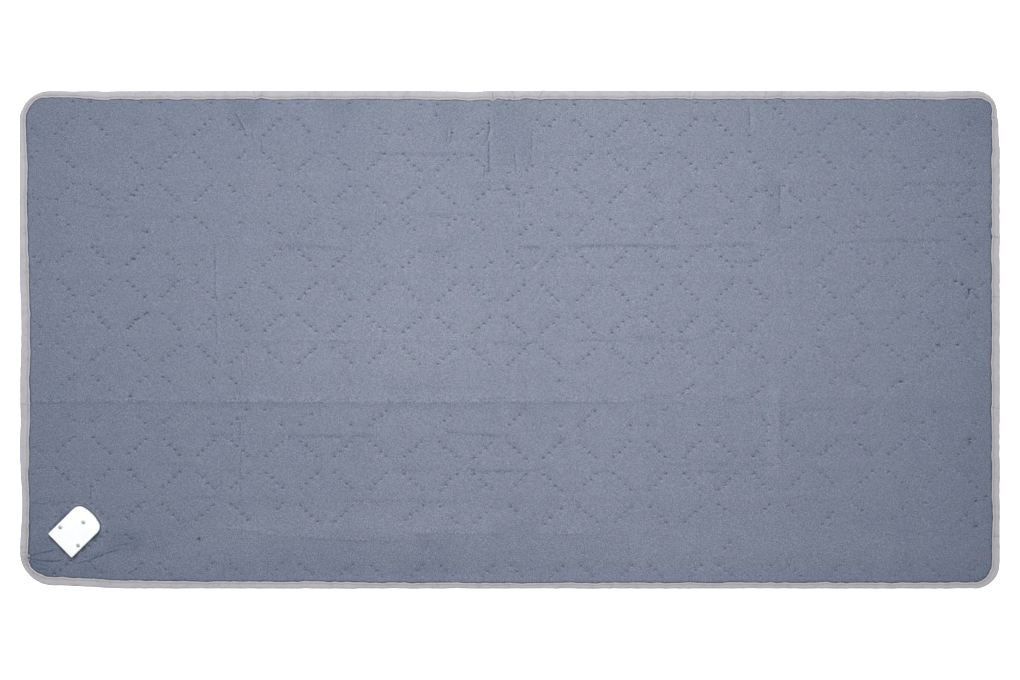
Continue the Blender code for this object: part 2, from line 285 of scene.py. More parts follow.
WELD_DEPTH = 0.0016
WELD_SCATTER = 0.6  # mm off its place
WELD_UNEVEN = (0.75, 1.15)
WELD_FROM_TAPE = 0.0055
# How deep the welds are along the blanket: (place in mm, share)
WELD_STRENGTH = (
    (-760, 0.7), (-680, 0.88), (-300, 0.86), (400, 0.86), (500, 0.72), (640, 0.66), (760, 0.62),
)
PUFF = 0.00008  # rise of the fleece between the welds
# Where a weld's mesh points lie, in its own radius: an arc along its deep far side, its middle,
# its slope up to the near side, and its rim
WELD_POINTS = (
    (-0.58, 0.14), (-0.38, 0.46), (0, 0.6), (0.38, 0.46), (0.58, 0.14), (0, 0.06),
    (-0.32, -0.36), (0.32, -0.36), (0, -0.66),
)
WELD_POINTS += tuple(
    (math.cos(angle), math.sin(angle)) for angle in (math.tau * (n + 0.5) / 12 for n in range(12))
)

# How the pattern drifts across the blanket, sideways and up (mm), at a few heights (mm)
DRIFT_SIDEWAYS = (
    (-380, ((-700, -2), (-500, 1), (-250, 4), (0, 6.5), (740, 6.5))),
    (-200, ((-720, 3), (-600, 7), (-450, 4), (-300, 2.5), (0, 3.3), (350, 4.6), (600, 0),
            (740, -1))),
    (20, ((-700, 4), (-520, 5.5), (-400, 0), (0, 0.5), (400, 0.5), (600, -5), (740, -3.5))),
    (300, ((-700, 0.5), (-450, -1.5), (-100, 0), (70, -3), (200, -3.7), (330, -1.8), (500, -2),
           (740, -1))),
)
DRIFT_UP = (
    (-380, ((-740, 5), (-600, 2.5), (-430, 1), (0, -2), (300, -1), (450, -1), (620, -1))),
    (-200, ((-740, 9), (-650, 5.5), (-560, 3), (-430, 1), (-270, 0.8), (0, -1.6), (300, 0),
            (450, 1), (620, 4.3), (740, 5))),
    (-20, ((-740, 7), (-600, 3.8), (-430, 1.2), (-300, -0.5), (0, -2.4), (300, -0.5), (450, 1),
           (620, 3.6), (740, 4))),
    (30, ((-740, 8.5), (-600, 5), (-430, 2.5), (-300, 1), (-100, -1.5), (100, -0.8), (300, 0.5),
          (450, 3), (620, 5.5), (740, 6.5))),
    (110, ((-740, 10), (-670, 8), (-600, 5.8), (-430, 3.2), (-300, 2), (-100, 0), (100, 0),
           (300, 1), (450, 3), (620, 5.8), (740, 6.5))),
    (300, ((-740, 4), (-600, 2.8), (-430, 2.2), (-300, 1), (-50, -2), (150, 0), (340, 2),
           (450, 3), (620, 4), (740, 2))),
)


def drift_at(x, y, levels):
    """The drift at each place (mm), from stops given at a few heights."""
    stops = np.array([eased(x, across) for _, across in levels])
    place = np.interp(y, [height for height, _ in levels], range(len(levels)))
    below = np.minimum(place.astype(int), len(levels) - 2)
    share = place - below
    at = np.arange(len(x))
    return stops[below, at] * (1 - share) + stops[below + 1, at] * share


def drift(x, y):
    """How far the pattern has drifted at a place, sideways and up, all in mm."""
    return drift_at(x, y, DRIFT_SIDEWAYS), drift_at(x, y, DRIFT_UP)


def weld_dots():
    """The middle of each weld dot, and how deep it is pressed, from 0 to 1."""
    chance = np.random.default_rng(11)
    x, y, depth = [], [], []
    for row, (low, high) in enumerate(zip(WELD_ROWS, WELD_ROWS[1:])):
        for crossing in range(-11, 20):
            if (crossing + row) % 2 == 0:
                continue
            for side in (-1, 1):
                middle = CROSSING_START + CROSSING_SPACING * (crossing + side / 2)
                depths, moved = WELD_ROW_DEPTH[row], 0
                for odd_place, pressed, up in ODD_SIDES.get(row, ()):
                    if abs(odd_place - middle) < CROSSING_SPACING / 3:
                        depths, moved = [1.0 * (n in pressed) for n in "0123"], up
                for share, dot_depth in zip(WELDS_ON_SIDE, depths):
                    x.append(CROSSING_START + CROSSING_SPACING * (crossing + side * share))
                    y.append(low + (high - low) * share + moved)
                    depth.append(dot_depth)
    x, y, depth = np.array(x), np.array(y), np.array(depth)
    sideways, up = drift(x, y)
    x = x + sideways + chance.normal(0, WELD_SCATTER, len(x))
    y = y + up + chance.normal(0, WELD_SCATTER, len(x))
    depth = depth * chance.uniform(*WELD_UNEVEN, len(x)) * eased(x, WELD_STRENGTH)
    dots = np.column_stack((x, y)) * MM
    keep = (depth > 0.05) & (edge_distance(dots) - tape_reach(dots) > WELD_FROM_TAPE)
    return dots[keep], depth[keep]


# Small deep tacks, where the heating wire is caught to the fleece (mm)
TACKS = (
    (-613, 234), (-592, 174), (-613, 130), (-619, 20), (-611, 31), (-592, 42), (-619, -94),
    (-619, -214), (-507, -327), (728, 94), (739, 89), (699, -10), (731, -10), (639, -70),
    (751, -164), (751, -169), (761, -265), (778, -257), (761, -306),
)
TACK_DEPTH = 1.9  # against a weld dot's

# Weld dots that fell off the pattern, where the fleece was rucked as it went under the roller (mm)
STRAY_WELDS = (
    (-120, 364), (-94, 336), (45, 357), (56, 347), (65, 347), (73, 357), (-2, 271), (28, 275),
    (37, 282), (-2, 244), (7, 235), (28, 238), (35, 246), (18, 170), (27, 178), (35, 186),
    (-40, 116), (-30, 124), (433, 375), (442, 367), (446, 388), (400, 287), (408, 278),
    (394, 231), (403, 240), (419, 242), (427, 234), (408, 188), (400, 180), (734, 171),
    (743, 162), (752, 154), (762, 143), (734, 198), (743, 203), (752, 200), (762, 190),
    (-687, -338), (-676, -330), (-667, -322), (-657, -315), (-716, -362), (-723, -368),
    (-733, -377), (-743, -383),
)
STRAY_DEPTH = 0.9

# Heating-wire runs, which lift the fleece a little: how far up each one lies (mm)
WIRE_RUNS = (306, 257, 205, 153, 104, 48, -2, -53, -102, -156, -206, -259, -311)
WIRE_RISE = 0.35
WIRE_FRONT = 2.2
WIRE_BACK = 6.0

creases = []


def crease(rise, front, back, *points):
    """A crease through points (mm): its rise, and how far that takes to fall on each side.

    A negative rise is a furrow. The front is on the right of the way it runs, and the back on
    its left, so a short front and a long back make a fold with one steep side.
    """
    creases.append((rise * MM, front * MM, back * MM, np.array(points, float) * MM))


wire_places = np.arange(-780, 781, 60)
for number, up in enumerate(WIRE_RUNS):
    meander = 1.1 * np.random.default_rng(40 + number).normal(0, 1, len(wire_places))
    crease(WIRE_RISE, WIRE_FRONT, WIRE_BACK, *zip(wire_places, up + meander))

# Left: upright folds and puckers below the far edge, and the soft folds under them
crease(-1.6, 2.4, 2.2, (-450, 375), (-441, 357), (-430, 336))
crease(-0.9, 2, 1.9, (-421, 351), (-420, 334), (-416, 315))
crease(0.7, 2.2, 3, (-412, 391), (-420, 370))
crease(0.6, 2.2, 3, (-413, 334), (-414, 311))
crease(-1.1, 2.2, 2, (-406, 332), (-405, 318), (-406, 302))
crease(-0.64, 5, 2.2, (-787, 234), (-760, 231), (-738, 229))
crease(-0.56, 6, 2.2, (-725, 228), (-680, 218), (-636, 211))
crease(-0.8, 3.2, 2.2, (-482, 167), (-481, 130), (-480, 73), (-472, 53))
crease(-0.8, 3.2, 2.2, (-480, 45), (-479, 20), (-476, -12))
crease(-0.56, 2, 1.9, (-478, -8), (-464, 3))
crease(-0.72, 6, 2.2, (-399, 156), (-342, 153), (-260, 146))
crease(-0.48, 2.4, 2.2, (-391, 187), (-391, 163))
crease(0.59, 2.2, 3, (-453, -25), (-450, -50), (-444, -74))
crease(-0.72, 2, 1.9, (-438, -37), (-436, -74))
crease(-0.64, 2, 1.9, (-440, -125), (-440, -176))
crease(0.59, 1.9, 2.5, (-434, -125), (-433, -176))
crease(0.52, 2.2, 7, (-690, -156), (-692, -210), (-689, -270))
crease(-0.56, 3.2, 2.2, (-437, -172), (-440, -225), (-436, -276))

# Middle: upright puckers below the far edge, and the fold that runs on from them
crease(-1.7, 2, 1.9, (-101, 347), (-102, 334), (-104, 319))
crease(-1.4, 2, 1.9, (-95, 349), (-95, 334), (-98, 318))
crease(-1.5, 2.4, 2.2, (-35, 362), (-33, 344), (-37, 328), (-46, 314))
crease(-1.4, 2.8, 2.6, (-35, 328), (-34, 300), (-34, 268))
crease(-1.2, 2, 1.9, (-40, 286), (-43, 254))
crease(0.6, 2.4, 4, (-1, 385), (0, 350), (1, 318))
crease(-1.3, 1.8, 1.6, (-9, 392), (-9, 385))
crease(-1.2, 1.8, 1.6, (6, 392), (8, 386))
crease(-1.2, 1.8, 1.6, (37, 393), (36, 386))
crease(-1.3, 1.8, 1.6, (50, 393), (49, 385))
crease(-0.8, 2.4, 2.2, (7, 316), (8, 296), (11, 266))
crease(-0.9, 2.4, 2.2, (37, 352), (36, 320), (33, 280))
crease(-0.9, 2.4, 2.2, (-34, 240), (-20, 244), (-4, 246), (12, 244))
crease(-1.2, 2, 1.9, (17, 230), (16, 214), (15, 197))
crease(-1.0, 2, 1.9, (24, 230), (23, 214), (23, 200))
crease(-0.64, 7, 2.2, (-241, 304), (-145, 302), (-48, 301))
crease(-0.35, 7, 2.2, (159, 312), (278, 312))
crease(-0.56, 7, 2.2, (-138, 203), (-56, 203))
crease(-0.56, 7, 2.2, (66, 203), (123, 203))
crease(0.45, 3, 4, (-145, 163), (-92, 163))
crease(-1.3, 8, 2.2, (12, 150), (54, 150))
crease(-1.12, 8, 2.2, (80, 152), (180, 153), (281, 151))
crease(-0.8, 8, 2.2, (294, 151), (350, 154), (414, 156))
crease(-0.72, 7, 2.2, (529, 158), (630, 162), (721, 161))
crease(-0.72, 2.4, 2.2, (60, 148), (50, 131), (33, 115))
crease(-0.72, 2.4, 2.2, (-40, 112), (-42, 94), (-46, 73))
crease(-0.56, 2.4, 2.2, (42, 70), (25, 45))
crease(-0.72, 2.4, 2.2, (352, 131), (368, 127), (392, 126), (409, 130), (421, 147))
crease(-0.56, 2.4, 2.2, (402, 100), (427, 100))

# Right: a broad upright fold, and faint creases out to the edge
crease(-1.1, 2.4, 2, (441, 260), (440, 230), (440, 200))
crease(-0.9, 2.6, 2.4, (390, 391), (391, 370), (391, 342))
crease(0.52, 3.8, 5, (482, 229), (490, 200), (498, 171))
crease(-0.56, 7, 3, (635, 255), (700, 252), (771, 255))
crease(-1.5, 2.2, 2, (783, 190), (784, 181))
crease(-1.6, 2, 1.9, (786, 171), (786, 164))
crease(-0.56, 2.4, 2.2, (783, 197), (783, 176))

# The far end: a gathered tack, with wrinkles that run from it to the binding
crease(-4.0, 2.4, 2.2, (750, 85), (750, 78), (749, 70))
crease(-1.6, 1.8, 1.8, (750, 80), (757, 86))
crease(-1.2, 1.8, 1.8, (750, 80), (745, 85))
crease(-1.3, 1.8, 1.8, (749, 71), (742, 64))
crease(-1.0, 1.8, 1.8, (755, 77), (763, 70), (769, 62))
crease(-0.7, 2.6, 2.2, (762, 83), (776, 94), (787, 104))
crease(-0.6, 2.4, 2.2, (752, 60), (755, 48))
crease(-0.7, 2, 1.9, (708, 57), (706, 42))
crease(-0.64, 2.4, 2.2, (783, 157), (783, 120))
crease(0.65, 2.2, 9, (419, -70), (418, -140), (420, -215))
crease(-0.8, 9, 2.2, (442, -70), (443, -140), (441, -215))
crease(-0.64, 2, 1.9, (450, -80), (449, -150))
crease(-0.56, 6, 2.2, (456, -115), (533, -114))
crease(-0.56, 2.4, 2.2, (494, -18), (505, -47))
crease(-0.64, 2, 1.9, (735, -211), (764, -239))

# Across the middle: the fold lines, each with the wire run beside it
crease(-0.72, 6, 2.2, (-34, -5), (17, -8), (44, -4))
crease(-0.56, 7, 2.2, (97, -1), (190, -1))
crease(-0.75, 7, 2.2, (188, 3), (233, 1), (262, -2), (303, -1), (327, 9), (349, 26))
crease(0.39, 3, 5, (-470, -1), (-270, 0), (-72, -1))
crease(-0.48, 6, 2.2, (492, 1), (545, 1))
crease(0.39, 3, 4, (-132, -77), (-71, -77))
crease(-0.72, 2.4, 2.2, (-66, -94), (-40, -98), (-16, -95), (1, -97), (26, -90))
crease(0.91, 3, 16, (-785, -102), (-600, -101), (-400, -102), (-200, -103), (0, -101), (206, -102))
crease(0.78, 3, 14, (204, -102), (229, -93), (246, -89), (272, -92))
crease(0.65, 3, 12, (320, -93), (363, -98), (384, -83), (411, -75))
crease(-0.56, 2.4, 2.2, (-393, -81), (-377, -81))
crease(-0.56, 2.4, 2.2, (-324, -81), (-288, -81))
crease(-0.48, 6, 2.2, (-597, -148), (-544, -148))
crease(-0.56, 6, 2.2, (-496, -156), (-451, -156))
crease(-0.64, 7, 2.2, (-377, -157), (-290, -158), (-206, -157))
crease(-0.8, 7, 2.2, (-120, -148), (-60, -155), (3, -159))
crease(0.45, 3, 6, (137, -160), (230, -159), (313, -160))
crease(-0.56, 6, 2.2, (-572, -203), (-511, -203))
crease(-0.48, 6, 2.2, (-483, -213), (-446, -213))
crease(-0.64, 6, 2.2, (-202, -214), (-111, -214))
crease(-0.96, 6, 2.2, (-75, -210), (-40, -216), (33, -215), (60, -209))
crease(-0.56, 6, 2.2, (129, -216), (174, -216))
crease(-0.64, 6, 2.2, (268, -216), (373, -216))
crease(-0.56, 6, 2.2, (227, -205), (340, -204), (460, -205))
crease(-0.48, 7, 2.2, (-548, -257), (-462, -258))
crease(-0.35, 7, 2.2, (-303, -263), (-190, -264), (-71, -263))

# Near edge: a slack fold, lighter above and darker below
crease(0.72, 3.8, 14, (-475, -306), (-380, -318), (-300, -325), (-190, -329), (-165, -318))
crease(0.78, 3.8, 14, (-168, -317), (-90, -315), (-8, -317))
crease(0.65, 3.8, 14, (30, -314), (90, -317), (152, -316))
crease(0.52, 3.8, 12, (228, -317), (272, -318))
crease(-0.64, 2.4, 2.2, (409, -363), (418, -386))
crease(0.52, 3, 4, (-102, -352), (-101, -384))

# Housing corner: the fleece fans out in wrinkles from where it is screwed down
crease(-0.9, 2.6, 2.2, (-787, -266), (-760, -268), (-737, -262))
crease(-1.2, 2.6, 2.4, (-752, -270), (-734, -266), (-712, -265), (-690, -270), (-668, -286))
crease(-0.9, 2, 1.9, (-683, -236), (-684, -265))
crease(-1.6, 2.6, 2.2, (-786, -353), (-770, -350), (-752, -346), (-735, -342))
crease(-1.3, 2.4, 2.2, (-784, -357), (-765, -361), (-745, -362), (-726, -361))
crease(-1.0, 2.6, 2.2, (-777, -369), (-765, -374), (-752, -377))
crease(-0.8, 2.4, 2.2, (-780, -362), (-768, -367), (-755, -369))
crease(-1.7, 2.8, 2.2, (-716, -367), (-700, -364), (-685, -360), (-661, -350), (-632, -341))
crease(-0.9, 2.4, 2.2, (-703, -357), (-680, -352), (-662, -345))
crease(-0.8, 2.4, 2.2, (-660, -343), (-640, -336), (-618, -333))
crease(0.5, 4, 6, (-700, -354), (-655, -343), (-610, -338))
crease(-0.8, 2, 1.9, (-511, -393), (-496, -380), (-480, -368))
crease(-0.8, 2, 1.9, (-630, -389), (-615, -378), (-598, -368))
crease(-2.6, 2, 1.9, (-507, -321), (-507, -331))

CREASE_FADE = 0.018  # length over which a crease dies away at each end
CREASE_STEP = 0.0055  # between mesh points along it
BROAD_FRONT = 0.005  # a furrow with a longer front than this is a broad one
SHADE_HALF = 0.0018  # half the width of the painted shade along a crease
BROAD_SHADE_HALF = 0.0055
LIT_PLACE, LIT_HALF = 0.0024, 0.0016  # and of the painted light beside it
FURTHEST_RAIL = 0.006
A_WIRE_RUN = 1.0  # only the wire runs are longer than this


def crease_lift(points):
    """The height that the creases add at each point, and their painted shade and light."""
    total, crease_shade = np.zeros(len(points)), np.zeros(len(points))
    for rise, front, back, line in creases:
        reach = max(front, back)
        near = ((points > line.min(0) - reach) & (points < line.max(0) + reach)).all(axis=1)
        if not near.any():
            continue
        here = points[near]
        offset = np.full(len(here), np.inf)
        run = np.zeros(len(here))
        done = 0.0
        for start, end in zip(line, line[1:]):
            way = end - start
            length = np.linalg.norm(way)
            share = np.clip((here - start) @ way / length**2, 0, 1)
            from_line = here - start - share[:, None] * way
            away = np.linalg.norm(from_line, axis=1)
            left = way[0] * (here[:, 1] - start[1]) - way[1] * (here[:, 0] - start[0])
            closer = away < np.abs(offset)
            offset[closer] = np.where(left > 0, away, -away)[closer]
            run[closer] = done + share[closer] * length
            done += length
        to_end = np.clip(np.minimum(run, done - run) / min(CREASE_FADE, done / 5), 0, 1)
        waver = 0.8 + 0.2 * np.sin(run / 0.011 + line[0, 0] * 900)
        if done > A_WIRE_RUN:  # it shows in some places and sinks away in others
            patches = waves_along(run, 1, 0.16, round(line[0, 1] / MM) + 1000)
            waver = np.clip(0.45 + 0.55 * patches, 0, 1.2)
        closeness = np.clip(1 - np.abs(offset) / np.where(offset > 0, back, front), 0, 1)
        total[near] += rise * waver * to_end * closeness**2 * (3 - 2 * closeness)
        from_dark = offset - (0 if rise < 0 else -min(front, FURTHEST_RAIL) / 2)
        broad = rise < 0 and front > BROAD_FRONT
        half = BROAD_SHADE_HALF if broad else SHADE_HALF
        closed = np.clip(1 - np.abs(from_dark) / half, 0, 1)
        lit = np.clip(1 - np.abs(from_dark - LIT_PLACE) / LIT_HALF, 0, 1)
        strength = abs(rise) / MM * waver * to_end * (0.3 if done > A_WIRE_RUN or rise > 0 else 1)
        crease_shade[near] += strength * (0.55 * closed if broad else closed - 0.45 * lit)
    return total, crease_shade


def crease_rails():
    """Points along each crease and on both sides of it, so that the mesh can follow it."""
    rails = []
    for _, front, back, line in creases:
        middle, length = evenly_spaced(line, CREASE_STEP, least=3)
        along = np.gradient(middle, axis=0)
        along /= np.linalg.norm(along, axis=1)[:, None]
        left = np.column_stack((-along[:, 1], along[:, 0]))
        front, back = min(front, FURTHEST_RAIL), min(back, FURTHEST_RAIL)
        offsets = (-front, -front / 2, 0, back / 2, back)
        if length > A_WIRE_RUN:
            offsets = (-front, 0, back)
        elif front > BROAD_FRONT:
            offsets = (-front, -0.003, 0, back, BROAD_SHADE_HALF)
        for offset in offsets:
            rails.append(middle + offset * left)
    return np.vstack(rails)


# The moulded housing's place: the middle of its straight end, its turn from +X, and its outline
HOUSING_END = (-0.7325, -0.3358)
HOUSING_TURN = math.radians(44.5)
HOUSING_LENGTH = 0.0735
HOUSING_WIDTH = 0.0547
HOUSING_CORNER_RADIUS = 0.0130
HOUSING_NOSE_RADIUS = 0.0600
HOUSING_BASE = 0.0035


def housing_outline(margin, steps=8):
    """The D, its straight end on the Y axis and its length along +X, grown by a margin."""
    corner, nose = HOUSING_CORNER_RADIUS, HOUSING_NOSE_RADIUS
    side = HOUSING_WIDTH / 2 - corner
    nose_middle = HOUSING_LENGTH - nose
    corner_middle = nose_middle + math.sqrt((nose - corner) ** 2 - side**2)
    meeting = math.asin(side / (nose - corner))
    edge = HOUSING_WIDTH / 2 + margin
    outline = [(-margin, edge), (-margin, -edge)]
    for x, y, radius, start, end in (
        (corner_middle, -side, corner + margin, -math.pi / 2, -meeting),
        (nose_middle, 0, nose + margin, -meeting, meeting),
        (corner_middle, side, corner + margin, meeting, math.pi / 2),
    ):
        for angle in np.linspace(start, end, steps + 1)[(0 if start < -1 else 1) :]:
            outline.append((x + radius * math.cos(angle), y + radius * math.sin(angle)))
    return np.array(outline)


def placed_with_housing(local):
    """Points given from the housing's straight end, in the blanket's own place."""
    turn = np.array(Matrix.Rotation(HOUSING_TURN, 2))
    return local @ turn.T + np.array(HOUSING_END)


def housing_distance(points):
    """How far outside the housing's outline each point lies, and negative inside it."""
    outline = placed_with_housing(housing_outline(0.0))
    x, y = points.T
    away = np.full(len(points), np.inf)
    inside = np.zeros(len(points), bool)
    for start, end in zip(outline, np.roll(outline, -1, axis=0)):
        way = end - start
        share = np.clip((points - start) @ way / (way @ way), 0, 1)
        away = np.minimum(away, np.linalg.norm(points - start - share[:, None] * way, axis=1))
        crosses = (start[1] > y) != (end[1] > y)
        with np.errstate(divide="ignore", invalid="ignore"):
            inside ^= crosses & (x < start[0] + (y - start[1]) * way[0] / way[1])
    return np.where(inside, -away, away)


# Heights of the fleece (mm) at distances in from the tape's inner edge (mm)
EDGE_TOP = ((-30, 3.5), (-1.2, 3.5), (0.2, 2.9), (1.5, 3.9), (3.0, 4.15), (9, 4.05), (26, 4.0))
EDGE_BASE = ((-30, 1.1), (1.5, 1.1), (9, 0.0))
# The same at distances out from the housing, which is screwed down hard and sinks in
SEAT_TOP = ((-2, 3.2), (-0.4, 3.2), (0.5, 2.2), (1.4, 3.6), (2.4, 4.0))
SEAT_EASE = ((1.2, 0.0), (4.0, 1.0))
PIT_OFF_HOUSING = 0.005  # the closest that a weld dot comes to it

weld_middles, weld_strengths = weld_dots()
tack_middles = np.array(TACKS + STRAY_WELDS, float) * MM
pits = np.vstack((weld_middles, tack_middles))
tack_depths = [TACK_DEPTH] * len(TACKS) + [STRAY_DEPTH] * len(STRAY_WELDS)
pit_depths = np.concatenate((weld_strengths, tack_depths))
off_housing = housing_distance(pits) > PIT_OFF_HOUSING
pits, pit_depths = pits[off_housing], pit_depths[off_housing]
pit_tree = tree_of(pits)


def pit_at(points):
    """What the nearest weld dot does at each point: its press, and its painted shade and light."""
    pressed, tone = np.zeros(len(points)), np.zeros(len(points))
    for number, (x, y) in enumerate(points):
        _, nearest, away = pit_tree.find((x, y, 0))
        r = away / WELD_RADIUS
        if r < 1:
            up = (y - pits[nearest][1]) / WELD_RADIUS
            wall = min(1, (1 - r) / 0.4)
            pressed[number] = pit_depths[nearest] * wall * min(1, max(0, 0.62 + 0.65 * up))
            # Painted shade in an arc on the far side, under the rim, and a painted highlight on the
            # near slope
            dark = max(0, 1 - abs(r - 0.6) / 0.4) * min(1, max(0, 0.45 + 1.4 * up))
            across = (x - pits[nearest][0]) / WELD_RADIUS
            light = max(0, 1 - math.hypot(across, up + 0.42) / 0.38)
            tone[number] = min(1, pit_depths[nearest]) * (0.6 * light - dark)
    return pressed, tone


def puffed(points):
    """The rise of the fleece between the sides of the diamonds, from 0 to 1."""
    x, y = (points / MM).T
    sideways, up = drift(x, y)
    across = (x - sideways - CROSSING_START) / CROSSING_SPACING
    row = np.interp(y - up, WELD_ROWS, range(len(WELD_ROWS)))
    one, other = (across + row - 1) / 2, (across - row - 1) / 2
    return np.sqrt(np.abs(np.sin(np.pi * one) * np.sin(np.pi * other)))


def fleece_top(points):
    """Height of the fleece's upper face."""
    in_from_tape = from_tape(points) / MM
    body = np.clip(in_from_tape / 12, 0, 1)
    height = eased(in_from_tape, EDGE_TOP) * MM
    height += body * (PUFF * puffed(points) + 0.00008 * waves(points, 0.05, 3))
    edge_room = np.clip(in_from_tape / 3, 0, 1)
    height += edge_room * crease_lift(points)[0]
    height -= edge_room * WELD_DEPTH * pit_at(points)[0]
    from_housing = housing_distance(points) / MM
    seat = eased(from_housing, SEAT_EASE)
    return eased(from_housing, SEAT_TOP) * MM * (1 - seat) + height * seat


def keep_clear(points, taken, gap):
    """The points that aren't within a gap of those already taken."""
    tree = tree_of(taken)
    return points[[tree.find((x, y, 0))[2] > gap for x, y in points]]


def staggered(spacing):
    """Points all over the blanket, in rows that are set over by half a space."""
    rows = np.arange(-WIDTH / 2, WIDTH / 2, spacing * 0.866)
    across = np.arange(-LENGTH / 2, LENGTH / 2, spacing)
    shifted = [across + spacing / 2 * (n % 2) for n in range(len(rows))]
    return np.vstack([np.column_stack((x, np.full(len(x), y))) for x, y in zip(shifted, rows)])


def filled(rim, points):
    """Triangles over the points inside a rim: their corners, faces, and where the rim's lie."""
    loop = [(n, (n + 1) % len(rim)) for n in range(len(rim))]
    corners = [Vector(p) for p in np.vstack((rim, points))]
    made = delaunay_2d_cdt(corners, loop, [], 1, 1e-7)
    where = np.zeros(len(rim), int)
    for number, originals in enumerate(made[3]):
        for original in originals:
            if original < len(rim):
                where[original] = number
    return np.array([tuple(p) for p in made[0]]), [tuple(f) for f in made[2]], where


def mesh_object(name, corners, faces, smooth=True):
    """A new piece made of corners and faces."""
    mesh = bpy.data.meshes.new(name)
    mesh.from_pydata([tuple(c) for c in corners], [], faces)
    mesh.validate()
    mesh.shade_smooth() if smooth else mesh.shade_flat()
    made = bpy.data.objects.new(name, mesh)
    bpy.context.scene.collection.objects.link(made)
    return made


def tag(piece, name, values):
    """Gives a piece's corners a value each, for its material to read."""
    piece.data.attributes.new(name, "FLOAT", "POINT").data.foreach_set("value", values)


PANEL_INSET = 0.0011  # from the finished edge to the panel's own, inside the fold of the tape
FILL_SPACING = 0.0080  # between mesh points where nothing shapes the upper face
FILL_GAP = 0.0046  # the closest that those come to the rows and dots that do
FILL_FROM_RIM = 0.003
BASE_SPACING = 0.030  # and the same on the underside
BASE_GAP = 0.012
BASE_FROM_RIM = 0.008
# Rows of mesh points beside the tape: how far in from its inner edge, and their spacing
EDGE_ROWS = (
    (-0.001, 0.005), (0.0004, 0.0035), (0.0014, 0.0035), (0.0034, 0.005), (0.0065, 0.0065),
)
SEAT_ROWS = (-0.4, 0.5, 1.3, 2.2, 4.0)  # and round the housing, how far out (mm)
BASE_ROWS = (0.001, 0.009)  # and on the underside
DETAIL_GAP = 0.0008  # the closest that mesh points may lie
RAIL_GAP = 0.0014

rim, _ = edge_line(PANEL_INSET, FILL_SPACING)
weld_points = np.array(WELD_POINTS) * WELD_RADIUS
detail = (pits[:, None, :] + weld_points[None, :, :]).reshape(-1, 2)
seats = [placed_with_housing(housing_outline(margin * MM, 12)) for margin in SEAT_ROWS]
detail = np.vstack((detail, keep_clear(np.vstack(seats), detail, DETAIL_GAP)))
for extra, spacing in EDGE_ROWS:
    places = stations(spacing, MM)
    row = fine_line[places] - fine_out[places] * (fine_reach[places] + extra)[:, None]
    detail = np.vstack((detail, keep_clear(row, detail, DETAIL_GAP)))
detail = np.vstack((detail, keep_clear(crease_rails(), detail, RAIL_GAP)))
fill = keep_clear(staggered(FILL_SPACING), np.vstack((detail, rim)), FILL_GAP)
inner = np.vstack((detail, fill))
inner = inner[edge_distance(inner) > PANEL_INSET + FILL_FROM_RIM]
top, top_faces, top_rim = filled(rim, inner)
base_line, way_out = edge_line(0.0005, 0.02)
base_rows = [base_line - way_out * (tape_reach(base_line) + n)[:, None] for n in BASE_ROWS]
base_fill = keep_clear(staggered(BASE_SPACING), np.vstack(base_rows), BASE_GAP)
base_fill = np.vstack((*base_rows, base_fill))
base_fill = base_fill[edge_distance(base_fill) > PANEL_INSET + BASE_FROM_RIM]
base, base_faces, base_rim = filled(rim, base_fill)
base_heights = eased((edge_distance(base) - tape_reach(base)) / MM, EDGE_BASE) * MM
top_corners = np.column_stack((top, fleece_top(top)))
corners = np.vstack((top_corners, np.column_stack((base, base_heights))))
count = len(top)
faces = list(top_faces) + [tuple(count + n for n in reversed(face)) for face in base_faces]
for n in range(len(rim)):
    after = (n + 1) % len(rim)
    faces.append((top_rim[after], top_rim[n], count + base_rim[n], count + base_rim[after]))
fleece = mesh_object("fleece_panel", corners, faces)

# Painted shade, with some fused fibres in the welds: in the welds, under the tape's lip, round the
# housing
_, weld_shade_and_highlight = pit_at(top)
from_housing = housing_distance(top) / MM
fused_and_shade = np.clip(-weld_shade_and_highlight, 0, 1)
lip_shade = eased(top[:, 1], ((0.37, 1.0), (0.39, 0.65)))  # the far lip lets light in under it
fused_and_shade += lip_shade * eased(from_tape(top) / MM, ((-1, 0.9), (0.6, 0.9), (1.6, 0.0)))
fused_and_shade += eased(from_housing, ((-0.5, 0.9), (0.9, 0.9), (1.6, 0.0)))
tag(fleece, "fused_and_painted_shade", np.concatenate((fused_and_shade, np.zeros(len(base)))))

# Patches of painted light and shade, partly for the light on the fleece and partly for how its
# pile lies and mats: tone, then left, right, near and far sides (mm), and how softly it ends (mm)
PILE_AND_LIGHT_ZONES = (
    (-0.05, -800, 200, -420, -103, 2),
    (-0.05, 200, 800, -420, -98, 9),
    (-0.06, -200, -20, -116, -103, 4),
    (-0.05, -3, 40, -120, -103, 4),
    (0.05, -380, -20, -103, 100, 60),
    (-0.10, -455, -405, 348, 392, 8),
    (-0.07, -298, -250, 358, 395, 10),
    (-0.06, -118, -78, 348, 395, 10),
    (-0.06, -34, 37, 285, 392, 10),
    (-0.06, 415, 443, 170, 280, 4),
    (0.07, 419, 442, -215, -75, 2),
    (-0.06, -473, 40, -380, -320, 5),
    (-0.05, 40, 200, -380, -318, 6),
    (0.05, -480, 0, -318, -275, 9),
    (-0.10, -660, -600, -345, -318, 9),
    (-0.10, -790, -740, -395, -325, 12),
    (-0.06, -33, 40, -322, -296, 6),
    (-0.05, -200, -95, -94, -65, 9),
    (-0.05, -455, -425, -102, -60, 7),
    (-0.07, -640, -560, -348, -310, 12),
    (-0.07, -150, -90, -347, -318, 9),
    (-0.06, -190, -90, -392, -355, 12),
    (0.05, -470, -400, -367, -310, 15),
    (-0.06, -37, -31, 272, 322, 2),
    (-0.08, -705, -650, -388, -368, 8),
    (-0.05, 735, 800, 335, 395, 14),
)

CREASE_SHADE = 0.30  # painted shade along a crease 1 mm high
